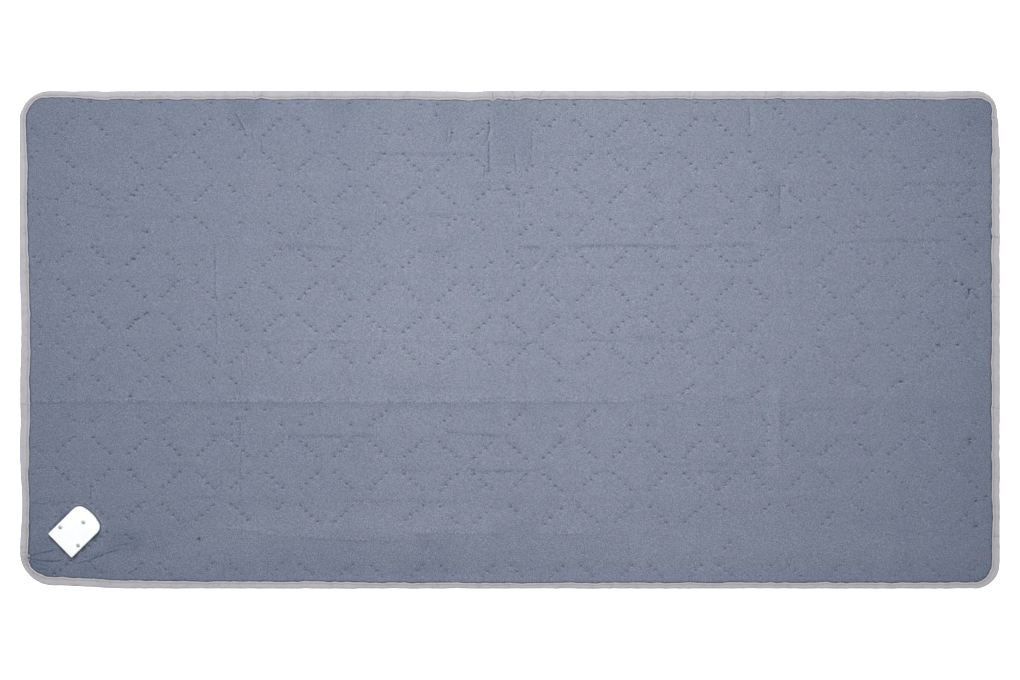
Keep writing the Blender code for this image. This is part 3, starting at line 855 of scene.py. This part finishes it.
# Painted shade towards the ends and sides, partly for the light falling off there and partly for
# the pile lying over: (place, share)
FALLOFF_AND_LIE_ACROSS = (
    (-800, 0.770), (-668, 0.829), (-586, 0.860), (-489, 0.899), (-391, 0.934), (-285, 0.954),
    (-170, 1.005), (0, 1.013), (150, 1.036), (286, 1.008), (400, 0.972), (507, 0.927),
    (597, 0.900), (670, 0.859), (722, 0.826), (757, 0.79), (800, 0.755),
)
FALLOFF_AND_LIE_UP = (
    (-410, 0.868), (-385, 0.895), (-363, 0.932), (-330, 0.975), (-290, 0.957), (-240, 0.986),
    (-205, 0.993), (-115, 1.0), (-95, 0.983), (0, 1.004), (97, 1.008), (150, 1.0), (260, 0.998),
    (326, 0.971), (362, 0.966), (410, 0.945),
)


def soft_box(points, left, right, near, far, soft):
    """How much each point is inside a box, from 0 to 1, with soft sides."""
    x, y = (points / MM).T
    share = np.ones(len(points))
    for inside in (x - left, right - x, y - near, far - y):
        share *= np.clip(inside / soft / 2 + 0.5, 0, 1)
    return share


pile_and_painted_light = np.zeros(len(top))
for tone, *zone in PILE_AND_LIGHT_ZONES:
    pile_and_painted_light += tone * soft_box(top, *zone)
pile_and_painted_light += 0.006 * waves(top, 0.09, 5) + 0.004 * waves(top, 0.03, 6)
# Painted shade along the creases, and painted light beside them
pile_and_painted_light -= CREASE_SHADE * crease_lift(top)[1]
# A painted highlight on each weld's near slope
pile_and_painted_light += np.clip(weld_shade_and_highlight, 0, 1)
# Painted light round the housing, which lightens the shadow that it casts on the fleece
pile_and_painted_light += eased(from_housing, ((1.0, 0.0), (2.2, 0.16), (7.0, 0.0)))
falloff_and_lie = eased(top[:, 0] / MM, FALLOFF_AND_LIE_ACROSS) * eased(top[:, 1] / MM, FALLOFF_AND_LIE_UP)
tag(fleece, "pile_and_painted_light", np.concatenate(((1 + pile_and_painted_light) * falloff_and_lie - 1, np.zeros(len(base)))))


def linear(colour):
    """A colour given as seen, #rrggbb, in the linear values that a shader takes."""
    seen = [int(colour[n : n + 2], 16) / 255 for n in (1, 3, 5)]
    return tuple(s / 12.92 if s <= 0.04045 else ((s + 0.055) / 1.055) ** 2.4 for s in seen) + (1.0,)


def node(tree, kind, settings=None, stops=(), **inputs):
    """Adds a node with its settings and colour stops, and links or sets each input named."""
    made = tree.nodes.new("ShaderNode" + kind)
    for name, value in (settings or {}).items():
        setattr(made, name, value)
    for number, (place, colour) in enumerate(stops):
        elements = made.color_ramp.elements
        element = elements[number] if number < 2 else elements.new(place)
        element.position, element.color = place, linear(colour)
    for name, value in inputs.items():
        socket = made.inputs[int(name[1:]) if name[1:].isdigit() else name.replace("_", " ")]
        if isinstance(value, bpy.types.NodeSocket):
            tree.links.new(value, socket)
        else:
            socket.default_value = value
    return made


def new_material(name, **constants):
    """A material with its node tree and its shader, and the constants set on the shader."""
    made = bpy.data.materials.new(name)
    made.use_nodes = True
    shader = made.node_tree.nodes["Principled BSDF"]
    for constant, value in constants.items():
        shader.inputs[constant.replace("_", " ")].default_value = value
    return made, made.node_tree, shader


TIMES = {"operation": "MULTIPLY"}
TIMES_PLUS = {"operation": "MULTIPLY_ADD"}
PLUS = {"operation": "ADD"}

# Polyester fleece: dull, short and blue-grey, with no gloss. Bluer and pinker fibres mix in it,
# and the pile stands in small clumps, so it looks finely mottled and soft
fleece_cloth, tree, shader = new_material(
    "polyester_fleece",
    Roughness=0.95,
    IOR=1.45,
    Specular_IOR_Level=0.25,
    Sheen_Weight=0.08,
    Sheen_Roughness=0.6,
)
place = node(tree, "TexCoord").outputs["Object"]
# Clumps of pile are about 3 mm across, and the fibres, far finer, are drawn 1.4 mm coarse to show
clumps = node(tree, "TexNoise", Vector=place, Scale=1 / 0.0030, Detail=2.0, Roughness=0.6)
fibres = node(tree, "TexNoise", Vector=place, Scale=1 / 0.0014, Detail=1.0)
matting = node(tree, "TexNoise", Vector=place, Scale=1 / 0.035, Detail=3.0, Roughness=0.6)
mixed = node(tree, "Math", TIMES_PLUS, _0=clumps.outputs["Fac"], _1=0.45, _2=-0.53)
mixed = node(tree, "Math", TIMES_PLUS, _0=fibres.outputs["Fac"], _1=1.1, _2=mixed.outputs[0])
mixed = node(tree, "Math", TIMES_PLUS, _0=matting.outputs["Fac"], _1=0.07, _2=mixed.outputs[0])
greys = ((0.0, "#636b7b"), (0.31, "#828999"), (0.62, "#9da4b6"))
colours = node(tree, "ValToRGB", stops=greys, Fac=mixed.outputs[0])
dye = fibres.outputs["Color"]
dyed = node(tree, "VectorMath", TIMES_PLUS, _0=dye, _1=(1.6, 1.0, 0.9), _2=(0.18, 0.5, 0.55))
dyed = node(tree, "VectorMath", TIMES, _0=colours.outputs["Color"], _1=dyed.outputs[0])
# Painted shade, with some fused fibres in the welds, drawn dark: in the welds and along the edges
fused_and_painted_shade = node(tree, "Attribute", {"attribute_name": "fused_and_painted_shade"}).outputs["Fac"]
fused_and_painted_shade = node(tree, "Math", {"operation": "MULTIPLY", "use_clamp": True}, _0=fused_and_painted_shade, _1=0.95)
with_painted_shade = node(tree, "Mix", {"data_type": "RGBA"}, _0=fused_and_painted_shade.outputs[0], _6=dyed.outputs[0],
              _7=linear("#3a4252"))
# The painted light and shade, with the pile's lie, tint the cloth: darker is also a little bluer
pile_and_light_tone = node(tree, "Attribute", {"attribute_name": "pile_and_painted_light"}).outputs["Fac"]
pile_and_light_tone = node(tree, "VectorMath", TIMES_PLUS, _0=pile_and_light_tone, _1=(1.12, 1.0, 0.8), _2=(1.0, 1.0, 1.0))
brushed = node(tree, "VectorMath", TIMES, _0=with_painted_shade.outputs[2], _1=pile_and_light_tone.outputs[0])
tree.links.new(brushed.outputs[0], shader.inputs["Base Color"])
pile = node(tree, "Math", PLUS, _0=clumps.outputs["Fac"], _1=fibres.outputs["Fac"])
bump = node(tree, "Bump", Strength=0.5, Distance=0.0006, Height=pile.outputs[0])
tree.links.new(bump.outputs["Normal"], shader.inputs["Normal"])
fleece.data.materials.append(fleece_cloth)

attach(fleece, "root")
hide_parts("panel")

# ---- Edge binding ---------------------------------------------------------------------------
# A woven polyester tape folded over the panel's edge and sewn through along its inner edges. It is
# pressed flat, dips along the stitches, and puckers across where the fleece is gathered.

# The tape's section: (distance in from the panel's edge or from the tape's inner lip, height), mm
TAPE_TOP_FROM_EDGE = ((0.0, 2.3), (0.22, 3.25), (0.85, 4.05), (1.9, 4.45), (3.4, 4.6))
TAPE_TOP_TO_LIP = (
    (7.4, 4.62), (5.8, 4.6), (4.6, 4.5), (4.0, 4.32), (3.4, 4.05), (2.8, 4.32), (2.2, 4.5),
    (1.2, 4.48), (0.4, 4.3), (0.0, 3.8),
)
TAPE_INNER_FACE = ((0.8, 3.72), (6.0, 3.72))
TAPE_INNER_FOLD = ((1.3, 3.7), (0.85, 3.0), (0.85, 1.6), (1.3, 0.88))
TAPE_BASE_FROM_LIP = ((0.6, 0.86), (0.0, 0.7), (0.2, 0.1), (1.2, 0.0))
TAPE_BASE_TO_EDGE = ((1.9, 0.0), (0.7, 0.35), (0.15, 1.3))

# Its tone at distances from the inner lip (mm): painted shade in the stitches' groove, and a
# painted highlight along the lip, which stands up a little
TAPE_TONE = (
    (0.0, 0.0), (1.0, 0.05), (2.2, 0.0), (2.9, -0.10), (3.5, -0.34), (4.1, -0.12), (5.0, -0.05),
    (7.5, -0.01), (9.0, 0.0), (30, 0.0),
)

TAPE_STATION = 0.0020
PUCKER_STATION = 0.0007  # closer, where the tape is puckered
PUCKER_RISE, PUCKER_FALL = 0.0009, 0.006  # how far along the tape a pucker takes to rise and fall
PUCKER_DARK_HALF = 0.0011
UPPER_FACE = 0.0039  # what lies above this carries the ripples and puckers
NEAREST_EDGE = 0.0036  # the closest that the part worked from the lip may come to the edge
BY_HOUSING = (-0.785, -0.385, 0)  # the corner that the housing tightens


def puckered(run, inwards):
    """How the puckers lift the tape (m), and their painted shade, at a run along it and inwards."""
    lift, dark = np.zeros(len(run)), np.zeros(len(run))
    for (_, _, height, slant, _, _), at in zip(PUCKERS, pucker_runs):
        past = run - at - slant * (inwards - 0.006)
        fold = np.clip(past / PUCKER_RISE + 0.5, 0, 1) * np.clip(1 - past / PUCKER_FALL, 0, 1)
        lift += height * MM * fold
        dark += height * np.clip(1 - np.abs(past) / PUCKER_DARK_HALF, 0, 1)
    return lift, dark


def joined(rings, count, first=0, closed=False):
    """Faces between rings that have a count of corners each, and from last to first if closed."""
    faces = []
    for ring in range(rings if closed else rings - 1):
        here, after = first + ring * count, first + (ring + 1) % rings * count
        for k in range(count):
            faces.append((here + k, here + (k + 1) % count, after + (k + 1) % count, after + k))
    return faces


chosen = stations(TAPE_STATION, PUCKER_STATION)
line, way_out, run, reach = (a[chosen] for a in (fine_line, fine_out, fine_run, fine_reach))
# The outer edge isn't quite even
flutter = waves_along(run, 0.0002, 0.06, 25) + waves_along(run, 0.0002, 0.018, 26)
line = line + way_out * np.clip(flutter, -0.0006, 0.0008)[:, None]
ripple = waves_along(run, 0.00012, 0.02, 23) + waves_along(run, 0.00008, 0.007, 24)
# Painted light along the lip, and deeper painted shade in the stitches, beside the puckers and all
# round the corner by the housing
corner_run = fine_run[fine_tree.find(BY_HOUSING)[1]]
lip_light_and_shade = 0.8 * np.clip(1.6 - np.abs(run - corner_run) / 0.028, 0, 1)
for (_, _, height, _, _, _), at in zip(PUCKERS, pucker_runs):
    lip_light_and_shade = np.maximum(lip_light_and_shade, height * np.clip(1.4 - np.abs(run - at) / 0.012, 0, 1))
section = []
for stops, from_lip in (
    (TAPE_TOP_FROM_EDGE, False),
    (TAPE_TOP_TO_LIP + TAPE_INNER_FACE, True),
    (TAPE_INNER_FOLD, False),
    (TAPE_BASE_FROM_LIP, True),
    (TAPE_BASE_TO_EDGE, False),
):
    section += [(distance * MM, height * MM, from_lip) for distance, height in stops]
rings, tones = [], []
for distance, height, from_lip in section:
    inwards = np.full(len(line), distance)
    if from_lip:
        inwards = np.maximum(reach - distance, NEAREST_EDGE)
    heights = np.full(len(line), height)
    tone = eased(np.clip((reach - inwards) / MM, 0, 30), TAPE_TONE)
    # The painted shade is deeper where the lip is drawn lit
    tone = np.where(tone < 0, tone * (1 + 0.9 * lip_light_and_shade), tone)
    tone -= 0.16 * np.clip(1 - inwards / 0.0016, 0, 1)
    if height > UPPER_FACE:
        lift, dark = puckered(run, inwards)
        heights += np.clip(inwards / 0.002, 0, 1) * (ripple + lift)
        heights = np.maximum(heights, UPPER_FACE)
        lip = np.clip(1 - (reach - inwards) / 0.0024, 0, 1)
        # Painted light along the lip, and painted shade along each pucker's fold
        tone += 0.25 * lip * lip_light_and_shade - 0.9 * dark
    rings.append(np.column_stack((line - way_out * inwards[:, None], heights)))
    tones.append(tone)
count = len(rings)
corners = np.stack(rings, axis=1).reshape(-1, 3)
binding = mesh_object("edge_binding", corners, joined(len(line), count, closed=True))
tag(binding, "along_tape", np.repeat(run, count))
tag(binding, "tone", np.stack(tones, axis=1).reshape(-1))

# Woven polyester tape: pale warm grey with a slight sheen, matt, ribbed across where the heavier
# weft shows. Its threads are about 0.5 mm apart, drawn 1.3 mm apart so that they show
woven_tape, tree, shader = new_material(
    "woven_polyester_tape", Roughness=0.8, IOR=1.5, Specular_IOR_Level=0.35, Sheen_Weight=0.1
)
place = node(tree, "TexCoord").outputs["Object"]
along = node(tree, "Attribute", {"attribute_name": "along_tape"}).outputs["Fac"]
rib = node(tree, "Math", TIMES, _0=along, _1=2 * math.pi / 0.0013)
rib = node(tree, "Math", {"operation": "SINE"}, _0=rib.outputs[0]).outputs[0]
soil = node(tree, "TexNoise", Vector=place, Scale=1 / 0.012, Detail=3.0, Roughness=0.6)
slub = node(tree, "TexNoise", Vector=place, Scale=1 / 0.0018, Detail=2.0).outputs["Fac"]
blend = node(tree, "Math", TIMES_PLUS, _0=rib, _1=0.06, _2=soil.outputs["Fac"])
blend = node(tree, "Math", PLUS, _0=slub, _1=blend.outputs[0])
greys = ((0.65, "#a19fa4"), (1.0, "#b4b2b6"))
colours = node(tree, "ValToRGB", stops=greys, Fac=blend.outputs[0])
# The painted light and shade along the tape, from its tone
toned = node(tree, "Attribute", {"attribute_name": "tone"}).outputs["Fac"]
toned = node(tree, "Math", PLUS, _0=toned, _1=1.0)
toned = node(tree, "VectorMath", TIMES, _0=colours.outputs["Color"], _1=toned.outputs[0])
tree.links.new(toned.outputs[0], shader.inputs["Base Color"])
threads = node(tree, "Math", TIMES_PLUS, _0=rib, _1=0.25, _2=slub)
bump = node(tree, "Bump", Strength=0.4, Distance=0.0003, Height=threads.outputs[0])
tree.links.new(bump.outputs["Normal"], shader.inputs["Normal"])
binding.data.materials.append(woven_tape)

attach(binding, "root")
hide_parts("binding")

# ---- Stitches -------------------------------------------------------------------------------
# One row of lock stitches in polyester thread, right round the tape a little out from its inner
# edge. Each stitch is a short length of thread that lies in the groove it pulls.

STITCH_PITCH = 0.0035
STITCH_LENGTH = 0.0026
STITCH_RADIUS = 0.00034
STITCH_SIDES = 5
STITCH_IN = 0.0034  # from the tape's inner lip
STITCH_HEIGHT = 0.00418
# Along a stitch: (place, thickness, lift), shares of its length and radius, and m
STITCH_SHAPE = ((-0.5, 0.45, -0.00028), (-0.3, 1.0, 0.0), (0.3, 1.0, 0.0), (0.5, 0.45, -0.00028))

corners, faces = [], []
for n in range(0, len(fine_line) - 3, round(STITCH_PITCH / FINE)):
    out_x, out_y = fine_out[n]
    inwards = fine_reach[n] - STITCH_IN
    lift, _ = puckered(fine_run[n : n + 1], np.array([inwards]))
    middle = np.array((*(fine_line[n] - fine_out[n] * inwards), STITCH_HEIGHT + lift[0]))
    forward, sideways = np.array((-out_y, out_x, 0.0)), np.array((out_x, out_y, 0.0))
    first = len(corners)
    for share, thickness, up in STITCH_SHAPE:
        for k in range(STITCH_SIDES):
            angle = 2 * math.pi * k / STITCH_SIDES
            offset = sideways * math.cos(angle) + np.array((0, 0, math.sin(angle)))
            offset = offset * STITCH_RADIUS * thickness + forward * share * STITCH_LENGTH
            corners.append(middle + offset + (0, 0, up))
    faces += joined(len(STITCH_SHAPE), STITCH_SIDES, first)
    faces.append(tuple(reversed(range(first, first + STITCH_SIDES))))
    faces.append(tuple(range(len(corners) - STITCH_SIDES, len(corners))))
stitches = mesh_object("binding_stitches", corners, faces)

# Polyester thread: pale grey, twisted, with a soft gloss along each stitch
thread, tree, shader = new_material("polyester_thread", Roughness=0.55, IOR=1.5)
place = node(tree, "TexCoord").outputs["Object"]
twist = node(tree, "TexNoise", Vector=place, Scale=1 / 0.0012, Detail=1.0)
greys = ((0.3, "#908d93"), (0.7, "#aaa7ac"))
colours = node(tree, "ValToRGB", stops=greys, Fac=twist.outputs["Fac"])
tree.links.new(colours.outputs["Color"], shader.inputs["Base Color"])
stitches.data.materials.append(thread)

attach(stitches, "root")

# ---- Inlet housing --------------------------------------------------------------------------
# The white moulded housing that the lead plugs into, D-shaped and screwed down on the fleece. A
# blind slot in its straight end takes the plug, and three counterbored holes take the screws.

HOUSING_HEIGHT = 0.0090
HOUSING_EDGE_RADIUS = 0.0008
SLOT_SIZE = (0.0140, 0.0340, 0.0054)
SCREW_PLACES = ((0.0217, 0.0208), (0.0217, -0.0208), (0.0542, 0.0))
COUNTERBORE_RADIUS = 0.0032
COUNTERBORE_DEPTH = 0.0023
SCREW_HOLE_RADIUS = 0.0016

housing_top = HOUSING_BASE + HOUSING_HEIGHT


def prism(name, outline, low, high):
    """A flat outline made solid between two heights."""
    count = len(outline)
    corners = [(x, y, z) for z in (low, high) for x, y in outline]
    faces = [tuple(reversed(range(count))), tuple(range(count, 2 * count))]
    faces += [(k, (k + 1) % count, count + (k + 1) % count, count + k) for k in range(count)]
    return mesh_object(name, corners, faces, smooth=False)


def settle(piece):
    """Makes a piece's modifiers part of its mesh."""
    graph = bpy.context.evaluated_depsgraph_get()
    mesh = bpy.data.meshes.new_from_object(piece.evaluated_get(graph))
    piece.modifiers.clear()
    piece.data = mesh


def cut(piece, outline, low, high):
    """Cuts the prism on an outline, between two heights, out of a piece."""
    cutter = prism("cutter", outline, low, high)
    boolean = piece.modifiers.new("cut", "BOOLEAN")
    boolean.operation, boolean.solver, boolean.object = "DIFFERENCE", "EXACT", cutter
    settle(piece)
    bpy.data.objects.remove(cutter)


def circle(x, y, radius, count=40):
    """An outline round a place."""
    angles = np.arange(count) * 2 * math.pi / count
    return np.column_stack((x + radius * np.cos(angles), y + radius * np.sin(angles)))


housing = prism("inlet_housing_moulded", housing_outline(0.0, 14), HOUSING_BASE, housing_top)
rounding = housing.modifiers.new("moulded_edge", "BEVEL")
rounding.width, rounding.segments = HOUSING_EDGE_RADIUS, 5
rounding.limit_method, rounding.angle_limit = "ANGLE", math.radians(40)
rounding.use_clamp_overlap = False
settle(housing)
depth, width, height = SLOT_SIZE
slot_middle = HOUSING_BASE + HOUSING_HEIGHT / 2
slot_outline = ((-0.004, -width / 2), (depth, -width / 2), (depth, width / 2), (-0.004, width / 2))
cut(housing, slot_outline, slot_middle - height / 2, slot_middle + height / 2)
for x, y in SCREW_PLACES:
    counterbore = circle(x, y, COUNTERBORE_RADIUS)
    cut(housing, counterbore, housing_top - COUNTERBORE_DEPTH, housing_top + MM)
    cut(housing, circle(x, y, SCREW_HOLE_RADIUS), 0.0, housing_top)
placing = Matrix.Translation((*HOUSING_END, 0)) @ Matrix.Rotation(HOUSING_TURN, 4, "Z")
housing.data.transform(placing)
housing.data.shade_smooth()
housing.data.set_sharp_from_angle(angle=math.radians(35))

# Moulded ABS: clean white and satin, with the fine even texture that a spark-eroded mould leaves,
# about 0.3 mm across, drawn 0.9 mm so that it shows
moulded_abs, tree, shader = new_material("moulded_white_abs", Roughness=0.42, IOR=1.53)
place = node(tree, "TexCoord").outputs["Object"]
grain = node(tree, "TexNoise", Vector=place, Scale=1 / 0.0009, Detail=2.0)
cloudy = node(tree, "TexNoise", Vector=place, Scale=1 / 0.02, Detail=1.0)
whites = ((0.3, "#f6f7f9"), (0.7, "#fafbfc"))
colours = node(tree, "ValToRGB", stops=whites, Fac=cloudy.outputs["Fac"])
tree.links.new(colours.outputs["Color"], shader.inputs["Base Color"])
bump = node(tree, "Bump", Strength=0.15, Distance=0.0001, Height=grain.outputs["Fac"])
tree.links.new(bump.outputs["Normal"], shader.inputs["Normal"])
housing.data.materials.append(moulded_abs)

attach(housing, "root")
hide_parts("inlet_housing")

# ---- Screws ---------------------------------------------------------------------------------
# Three small zinc-plated steel screws with slightly domed heads and a cross recess, turned down
# into the housing's counterbores and on into the fleece and its backing.

SCREW_HEAD_RADIUS = 0.0029
SCREW_HEAD_TOP = housing_top - 0.0006
SCREW_HEAD_HEIGHT = 0.0014
SCREW_SHANK_RADIUS = 0.0013
SCREW_TIP = 0.0012
RECESS_HALF_WIDTH = 0.00042
RECESS_REACH = 0.0017
RECESS_DEPTH = 0.0009
SCREW_TURNS = (0.3, 1.1, 0.75)
SEGMENTS = 48

# Zinc-plated steel: a cool grey metal with a fine satin, a little dulled
zinc_steel, tree, shader = new_material("zinc_plated_steel", Metallic=1.0)
place = node(tree, "TexCoord").outputs["Object"]
dulling = node(tree, "TexNoise", Vector=place, Scale=1 / 0.0015, Detail=2.0).outputs["Fac"]
greys = ((0.35, "#b9babd"), (0.65, "#cfd0d2"))
colours = node(tree, "ValToRGB", stops=greys, Fac=dulling)
tree.links.new(colours.outputs["Color"], shader.inputs["Base Color"])
satin = node(tree, "Math", TIMES_PLUS, _0=dulling, _1=0.2, _2=0.3)
tree.links.new(satin.outputs[0], shader.inputs["Roughness"])

# The screw's profile from the middle of its head outwards and down to its tip: distance from its
# axis, height, and whether it lies on the face that the recess is pressed into
profile = [
    (share * (SCREW_HEAD_RADIUS - 0.0003), SCREW_HEAD_TOP - 0.0004 * share**2, True)
    for share in np.linspace(0, 1, 13)[1:]
]
profile += [
    (SCREW_HEAD_RADIUS - 0.0001, SCREW_HEAD_TOP - 0.00052, True),
    (SCREW_HEAD_RADIUS, SCREW_HEAD_TOP - 0.0008, True),
    (SCREW_HEAD_RADIUS, SCREW_HEAD_TOP - SCREW_HEAD_HEIGHT, False),
    (SCREW_SHANK_RADIUS, SCREW_HEAD_TOP - SCREW_HEAD_HEIGHT, False),
    (SCREW_SHANK_RADIUS, SCREW_TIP, False),
]
corners = [(0, 0, SCREW_HEAD_TOP - RECESS_DEPTH)]
for radius, height, on_face in profile:
    for x, y in circle(0, 0, radius, SEGMENTS):
        narrow, wide = sorted((abs(x), abs(y)))
        arm = np.clip((RECESS_HALF_WIDTH - narrow) / 0.0002 + 0.5, 0, 1)
        arm *= np.clip((RECESS_REACH - wide) / 0.0006, 0, 1) if on_face else 0
        corners.append((x, y, height - RECESS_DEPTH * arm))
faces = [(0, 1 + k, 1 + (k + 1) % SEGMENTS) for k in range(SEGMENTS)]
faces += [(a, d, c, b) for a, b, c, d in joined(len(profile), SEGMENTS, 1)]
faces.append(tuple(reversed(range(len(corners) - SEGMENTS, len(corners)))))

for number, ((x, y), turn) in enumerate(zip(SCREW_PLACES, SCREW_TURNS), start=1):
    screw = mesh_object(f"housing_screw_{number}", corners, faces)
    screw.data.transform(placing @ Matrix.Translation((x, y, 0)) @ Matrix.Rotation(turn, 4, "Z"))
    screw.data.set_sharp_from_angle(angle=math.radians(40))
    screw.data.materials.append(zinc_steel)
    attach(screw, "root")
    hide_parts(f"screw_{number}")

# ---- Floor, light and camera ----------------------------------------------------------------
# A plain white lit table, one large soft light beyond the far side, high up, with soft light all
# round, and a camera straight above.

floor = prism("floor", ((-20, -20), (20, -20), (20, 20), (-20, 20)), -0.02, -0.0001)
matt_white, _, _ = new_material(
    "matt_white_table",
    Base_Color=linear("#f6f6f6"),
    Roughness=0.9,
    Emission_Color=(1, 1, 1, 1),
    Emission_Strength=0.8,
)
floor.data.materials.append(matt_white)


def soft_light(name, place, aim, size, power):
    """A soft rectangular light that the camera doesn't see."""
    data = bpy.data.lights.new(name, "AREA")
    data.shape, data.size, data.size_y, data.energy = "RECTANGLE", *size, power
    light = bpy.data.objects.new(name, data)
    light.location = place
    light.rotation_euler = (Vector(aim) - Vector(place)).to_track_quat("-Z", "Y").to_euler()
    light.visible_camera = False
    bpy.context.scene.collection.objects.link(light)


soft_light("far_side_light", (-0.58, 2.56, 3.2), (0.0, -0.1, 0.0), (3.2, 2.0), 110)
soft_light("overhead_light", (0.02, 0.05, 1.6), (0.02, 0.05, 0.0), (2.3, 1.5), 13.4)
world = bpy.data.worlds.new("soft_room")
bpy.context.scene.world = world
world.use_nodes = True
background = world.node_tree.nodes["Background"]
background.inputs["Color"].default_value = (1, 1, 1, 1)
background.inputs["Strength"].default_value = 0.35

VIEW_WIDTH = 1.6645
lens = bpy.data.cameras.new("camera")
lens.lens, lens.sensor_width = 85, 36
camera = bpy.data.objects.new("camera", lens)
camera.location = (0.0005, -0.0007, 0.003 + VIEW_WIDTH * lens.lens / lens.sensor_width)
bpy.context.scene.collection.objects.link(camera)
bpy.context.scene.camera = camera
bpy.context.scene.view_settings.view_transform = "Standard"
